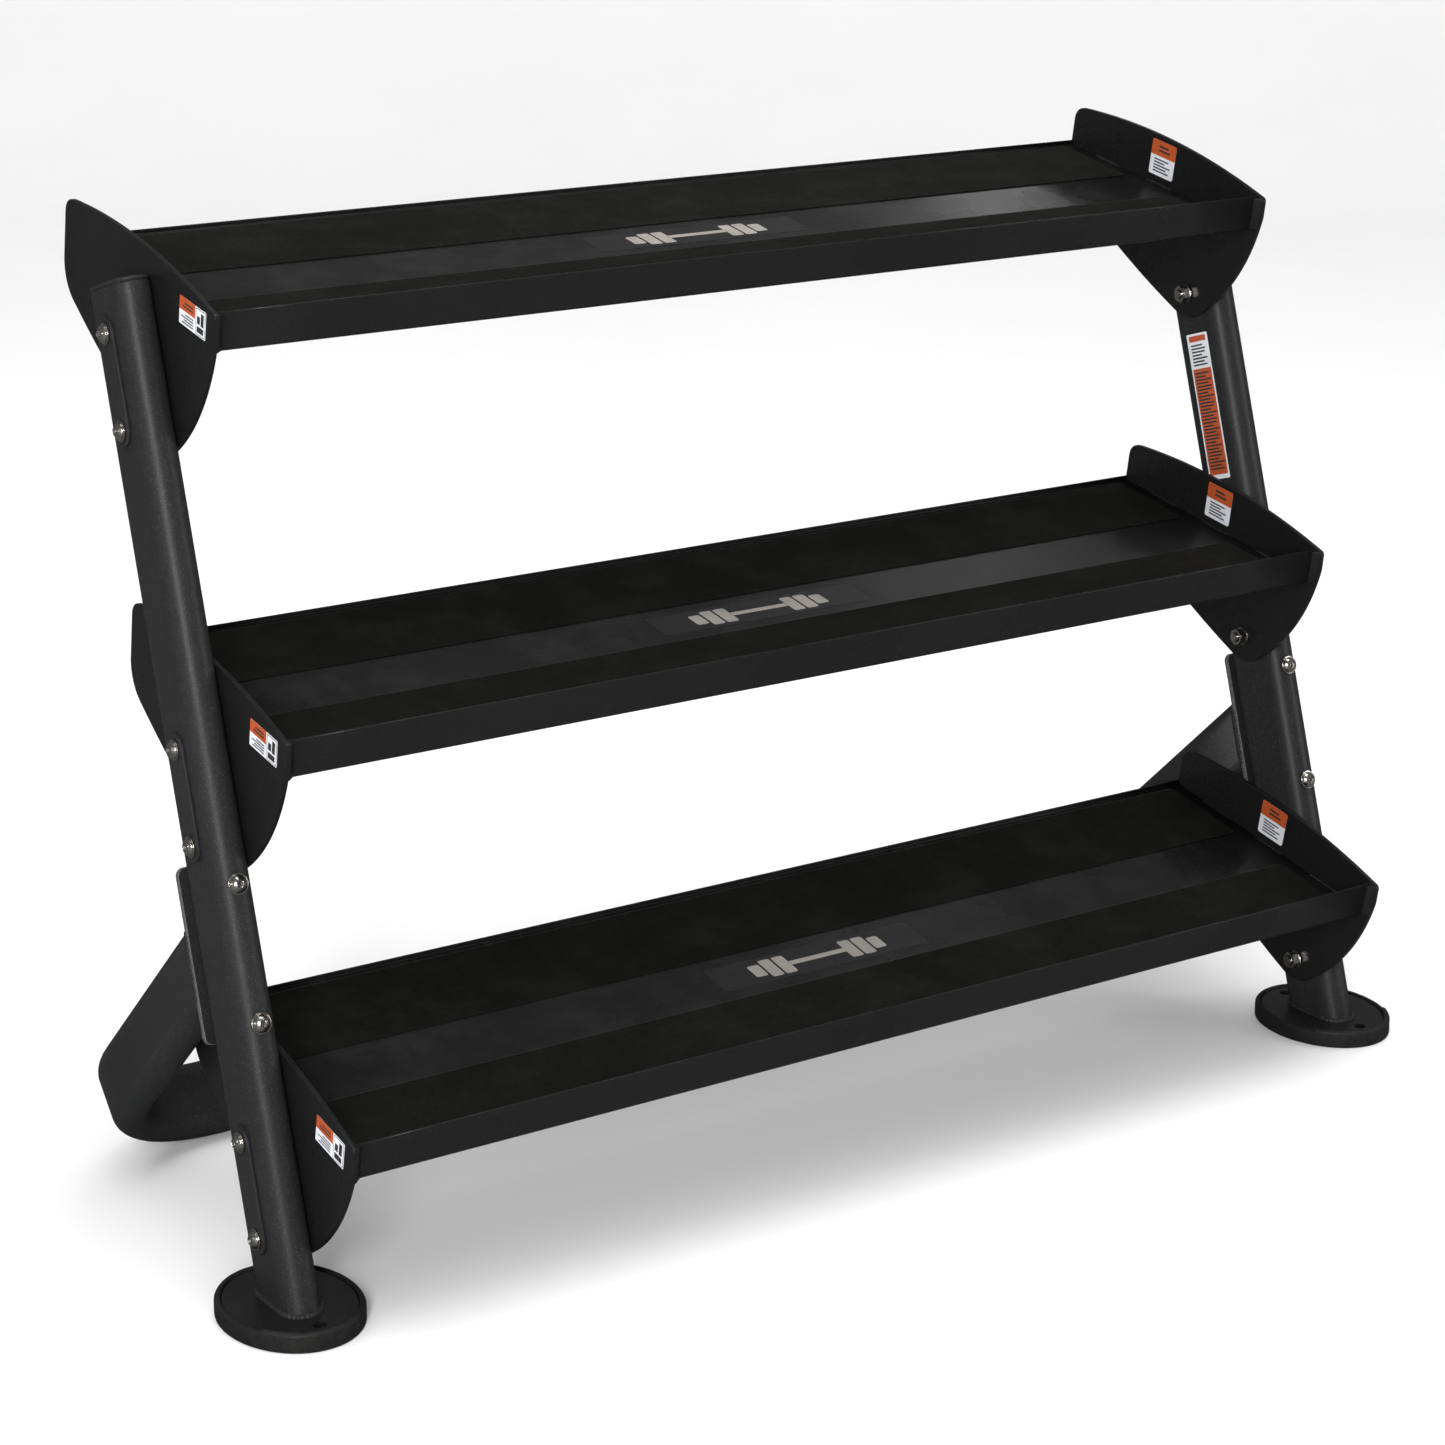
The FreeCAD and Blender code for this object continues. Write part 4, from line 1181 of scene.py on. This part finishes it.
class RACK_OT_labels(PieceOperator, bpy.types.Operator):
    """Plain coloured labels on the end plates and on the right upright"""

    bl_idname = "rack.labels"
    bl_label = "Labels"

    def build(self, s):
        """Fields and bars only, with nothing to read."""
        front, rear, low, high = s.outer_label
        panel = [(0.015, 0.37, 0.03, 0.97, 2, 1), (0.03, 0.355, 0.06, 0.94, 0, 2)]
        bars = [(0.07, 0.32, 0.12, 0.34), (0.07, 0.18, 0.40, 0.86), (0.21, 0.32, 0.42, 0.70)]
        fields = [(0.40, 1, 0.52, 1, 1, 1)] + panel + [(*bar, 2, 3) for bar in bars]
        fields += text_rows(0.46, 0.92, 0.06, 0.46, 4, 2, 1) + text_rows(0.48, 0.9, 0.62, 0.88, 2, 2, 2)
        outer = printed((front, low), (rear, high), 0.0012, 0, fields)
        front, rear, low, high = s.inner_label
        fields = [(0, 1, 0.56, 1, 1, 1)] + text_rows(0.16, 0.84, 0.08, 0.50, 5, 2, 1)
        fields += text_rows(0.3, 0.80, 0.66, 0.90, 2, 2, 2)
        inner = printed((-rear, low), (-front, high), 0.0028, 0, fields)
        turn = frame_at((plate_inside(), 0, 0), (0, -1, 0), (0, 0, 1), (-1, 0, 0))
        groups = {"outer_plate_labels": [], "inner_plate_labels": []}
        for shelf in SHELVES:
            place = shelf_frame(shelf)
            groups["outer_plate_labels"] += [p.placed(place @ laid_along_x(plate_outside())) for p in outer]
            groups["inner_plate_labels"] += [p.placed(place @ turn) for p in inner]
        for node, surfaces in groups.items():
            cover(node, both_sides(surfaces), FILMS, "label_film")
        self.build_tall(s)

    def build_tall(self, s):
        """Tall label on the right upright, cut off along the middle end plate's top edge."""
        half = s.tall_label / 2
        high = shelf_bolt("top") - s.tall_label_below
        lowest = (np.linalg.inv(upright_frame()) @ np.append(np.array(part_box("upright_label")[0]), 1))[2]
        low = lowest + 2 * half * math.sin(s.lean) * math.cos(s.lean)
        fields = [(0.1, 0.9, 0.945, 0.985, 1, 1), (0.06, 0.94, 0.03, 0.76, 1, 1)]
        fields += text_rows(0.14, 0.86, 0.775, 0.93, 7, 2, 1) + text_rows(0.12, 0.88, 0.06, 0.74, 30, 2, 2)
        surfaces = printed((-half, low), (half, high), 0.0015, 0, fields)
        turn = frame_at((plate_outside(), 0, 0), (0, -1, 0), (0, 0, 1), (-1, 0, 0))
        own = [p.placed(upright_frame() @ turn) for p in surfaces]
        cover("upright_label", own, FILMS, "label_film")


class RACK_OT_badges(PieceOperator, bpy.types.Operator):
    """Badges between the mats: a dark film with a plain silver dumbbell figure"""

    bl_idname = "rack.badges"
    bl_label = "Badges"

    def build(self, s):
        """The figure is a bar with three plates at each end, all rounded rectangles."""
        spans = mat_spans()
        middle = (spans[0][1] + spans[1][0]) / 2
        half = np.array([s.badge_length / 2, s.badge_width / 2])
        low = (-half[0], middle - half[1])
        high = (half[0], middle + half[1])
        fields = [(0.36, 0.64, 0.42, 0.58, 1, 1)]
        for left, right, reach in ((0.18, 0.235, 0.24), (0.245, 0.30, 0.36), (0.31, 0.365, 0.36)):
            for a, b in ((left, right), (1 - right, 1 - left)):
                fields.append((a, b, 0.5 - reach, 0.5 + reach, 1, 1))
        surfaces = printed(low, high, 0.005, 0, fields)
        copies = []
        for shelf in SHELVES:
            place = shelf_frame(shelf) @ frame_at((0, 0, tray_floor()), (1, 0, 0), (0, 1, 0), (0, 0, 1))
            copies += [p.placed(place) for p in surfaces]
        cover("shelf_decals", copies, ["badge_film", "badge_silver"], "badge_film")


class RACK_OT_welds(PieceOperator, bpy.types.Operator):
    """Weld beads at the feet, the brackets, the ends of the lips and under the trays"""

    bl_idname = "rack.welds"
    bl_label = "Welds"

    def build(self, s):
        """Rippled beads along the joints, painted with the parts that they join."""
        loop = oval(s.tube_width, s.tube_depth, 100, 60)
        flat = loop - shrunk(loop, 1.0)
        flat /= np.linalg.norm(flat, axis=1)[:, None]
        foot = skin([level(loop, upright_foot(loop)), level(loop, 1.0)])
        path = foot.points[: len(loop)] + (upright_x(), 0, 0)
        path = Surface(path, [], [], []).placed(upright_frame()).points
        out = np.column_stack([flat, np.zeros(len(flat))])
        up = np.tile([0.0, 0.0, 1.0], (len(path), 1))
        beads = [bead(path, out, up, s.weld, 0.09)]
        ring = level(loop, 0.3) + (leg_x(), 0, 0)
        ring[:, 2] = leg_top(ring)
        place = leg_frame()
        path = Surface(ring, [], [], []).placed(place).points
        out = out @ place[:3, :3].T
        back = upright_frame()[:3, 1]
        out -= (out @ back)[:, None] * back
        out /= np.linalg.norm(out, axis=1)[:, None]
        beads.append(bead(path, out, np.tile(back, (len(path), 1)), s.weld, 0.09))
        make_piece("frame_welds", both_sides(beads), ["frame_paint"], [])
        self.build_shelf_welds(s)

    def build_shelf_welds(self, s):
        """Fillets between lip and end plate, and three stitches under each end of a tray."""
        end = plate_inside() + 0.0003
        corners = [(end - s.lip_weld - 0.001, 0.0005), (end, -s.lip_weld), (end, 0.0005)]
        wedge = plate(filleted(corners, (0.0004, 0.0004, 0.0001)), -0.0365, -0.0015, 0.0009)
        stitch = 0.045
        count = 90
        out = np.tile([1.0, 0.0, 0.0], (count, 1))
        beads = []
        for shelf in SHELVES:
            place = shelf_frame(shelf)
            beads.append(wedge.placed(place))
            up = np.tile(place[:3, 2], (count, 1))
            for y in (0.045, 0.135, 0.225):
                start = (place @ (plate_inside(), y, -s.lip_height, 1))[:3]
                path = start + place[:3, 1] * stitch * np.linspace(0, 1, count)[:, None]
                beads.append(bead(path, out, up, s.weld, 0.10, closed=False))
        make_piece("shelf_welds", both_sides(beads), ["shelf_paint"], [])


class RACK_OT_stage(PieceOperator, bpy.types.Operator):
    """Studio: a pale round floor with a low curved wall, soft lights and the camera"""

    bl_idname = "rack.stage"
    bl_label = "Stage"

    def build(self, s):
        """The floor is turned about z: level out to six metres, then curved up like the wall of a bowl."""
        t = np.linspace(0, np.pi / 2, 12)
        section = [(r, 0.0) for r in (1.5, 3.0, 5.0)]
        section += [(6.0 + 3 * math.sin(k), 3 - 3 * math.cos(k)) for k in t]
        around = [level(circle(r, 96), z) for r, z in section]
        bowl = skin(around)
        inward = [face[::-1] for face in bowl.faces[:-1]]
        mesh = bpy.data.meshes.new("studio_floor")
        mesh.from_pydata(bowl.points.tolist(), [], inward)
        mesh.polygons.foreach_set("use_smooth", np.ones(len(inward), bool))
        floor = bpy.data.objects.new("studio_floor", mesh)
        bpy.context.scene.collection.objects.link(floor)
        n, shader, place = new_finish("studio_floor", specular=0.1)
        tone = n.group(tone_drift, {"Place": place, "Scale": 1.5})["Tone"]
        pale = n.mix(tone, rgba(colours().floor, 0.99), rgba(colours().floor, 1.01))
        # Painted shade in reflections: to glossy rays the floor shows a tenth of its colour, so the dark
        # paint, mats and steel reflect a dim floor instead of a pale one.
        reflected_floor_darkening = n.add("ShaderNodeLightPath", {}).outputs["Is Glossy Ray"]
        n.put(shader["Base Color"], n.mix(reflected_floor_darkening, pale, rgba(colours().floor, 0.10)))
        shader["Roughness"].default_value = 0.8
        mesh.materials.append(bpy.data.materials["studio_floor"])
        self.add_lights()
        self.add_camera()

    def add_lights(self):
        """A dim surrounding, a wide soft ceiling and five soft rectangles."""
        world = bpy.data.worlds.new("studio")
        world.use_nodes = True
        backing = world.node_tree.nodes["Background"].inputs
        backing["Color"].default_value = (1.0, 1.0, 1.0, 1.0)
        backing["Strength"].default_value = 0.12
        bpy.context.scene.world = world
        rows = (
            ("ceiling_light", (0, 0.5, 6.0), (0, 0.5, 0), 14.0, 14.0, 900.0, False),
            ("top_light", (0.2, -0.4, 4.2), (0, 0, 0.5), 2.2, 2.2, 50.0, True),
            ("key_light", (-3.1, -3.5, 1.9), (-0.3, 0, 0.5), 0.6, 2.2, 165.0, True),
            ("left_light", (-4.2, -0.6, 1.2), (0, 0, 0.5), 0.5, 0.5, 5.0, True),
            ("strip_light", (2.62, 2.56, 2.47), (0.25, 0, 0.5), 0.22, 0.22, 0.8, True),
            ("side_light", (3.2, -2.6, 1.3), (0.2, 0, 0.5), 0.7, 1.8, 26.0, True),
        )
        for name, place, aim, width, height, power, mirrored in rows:
            light = bpy.data.lights.new(name, "AREA")
            light.shape = "RECTANGLE"
            light.size = width
            light.size_y = height
            light.energy = power
            lamp = bpy.data.objects.new(name, light)
            bpy.context.scene.collection.objects.link(lamp)
            lamp.location = place
            lamp.visible_glossy = mirrored
            d = np.array(aim) - np.array(place)
            tip = math.acos(-d[2] / np.linalg.norm(d))
            lamp.rotation_euler = (tip, 0, math.atan2(-d[0], d[1]))

    def add_camera(self):
        """Camera in front of the rack and to its left."""
        camera = bpy.data.cameras.new("camera")
        camera.lens = 87.25
        camera.sensor_width = 36.0
        camera.shift_y = -0.10065
        holder = bpy.data.objects.new("camera", camera)
        bpy.context.scene.collection.objects.link(holder)
        holder.location = (-1.9232, upright_frame()[1, 3] - 2.62996, 1.4593)
        holder.rotation_euler = (math.radians(75.23), 0.0, math.radians(-33.79))
        bpy.context.scene.camera = holder
        bpy.context.scene.view_settings.view_transform = "Standard"


OPERATORS = (
    RACK_OT_uprights,
    RACK_OT_caps,
    RACK_OT_feet,
    RACK_OT_rear_frame,
    RACK_OT_trays,
    RACK_OT_end_plates,
    RACK_OT_mats,
    RACK_OT_strips,
    RACK_OT_fasteners,
    RACK_OT_labels,
    RACK_OT_badges,
    RACK_OT_welds,
    RACK_OT_stage,
)


class RACK_PT_panel(bpy.types.Panel):
    """Lists the rack's operators and settings."""

    bl_idname = "RACK_PT_panel"
    bl_label = "Dumbbell rack"
    bl_space_type = "VIEW_3D"
    bl_region_type = "UI"
    bl_category = "Rack"

    def draw(self, context):
        """One button for each operator, then the sizes and the colours."""
        for operator in OPERATORS:
            self.layout.operator(operator.bl_idname)
        for group in (context.scene.rack_sizes, context.scene.rack_colours):
            for name in group.__annotations__:
                self.layout.prop(group, name)


CLASSES = (RackSizes, RackColours, RACK_PT_panel) + OPERATORS


def register():
    """Add the classes and the scene's settings."""
    for entry in CLASSES:
        bpy.utils.register_class(entry)
    bpy.types.Scene.rack_sizes = PointerProperty(type=RackSizes)
    bpy.types.Scene.rack_colours = PointerProperty(type=RackColours)


def unregister():
    """Take the settings and the classes away again."""
    del bpy.types.Scene.rack_colours
    del bpy.types.Scene.rack_sizes
    for entry in reversed(CLASSES):
        bpy.utils.unregister_class(entry)


def main():
    """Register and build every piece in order."""
    register()
    for operator in OPERATORS:
        module, name = operator.bl_idname.split(".")
        getattr(getattr(bpy.ops, module), name)()


if __name__ == "__main__":
    main()
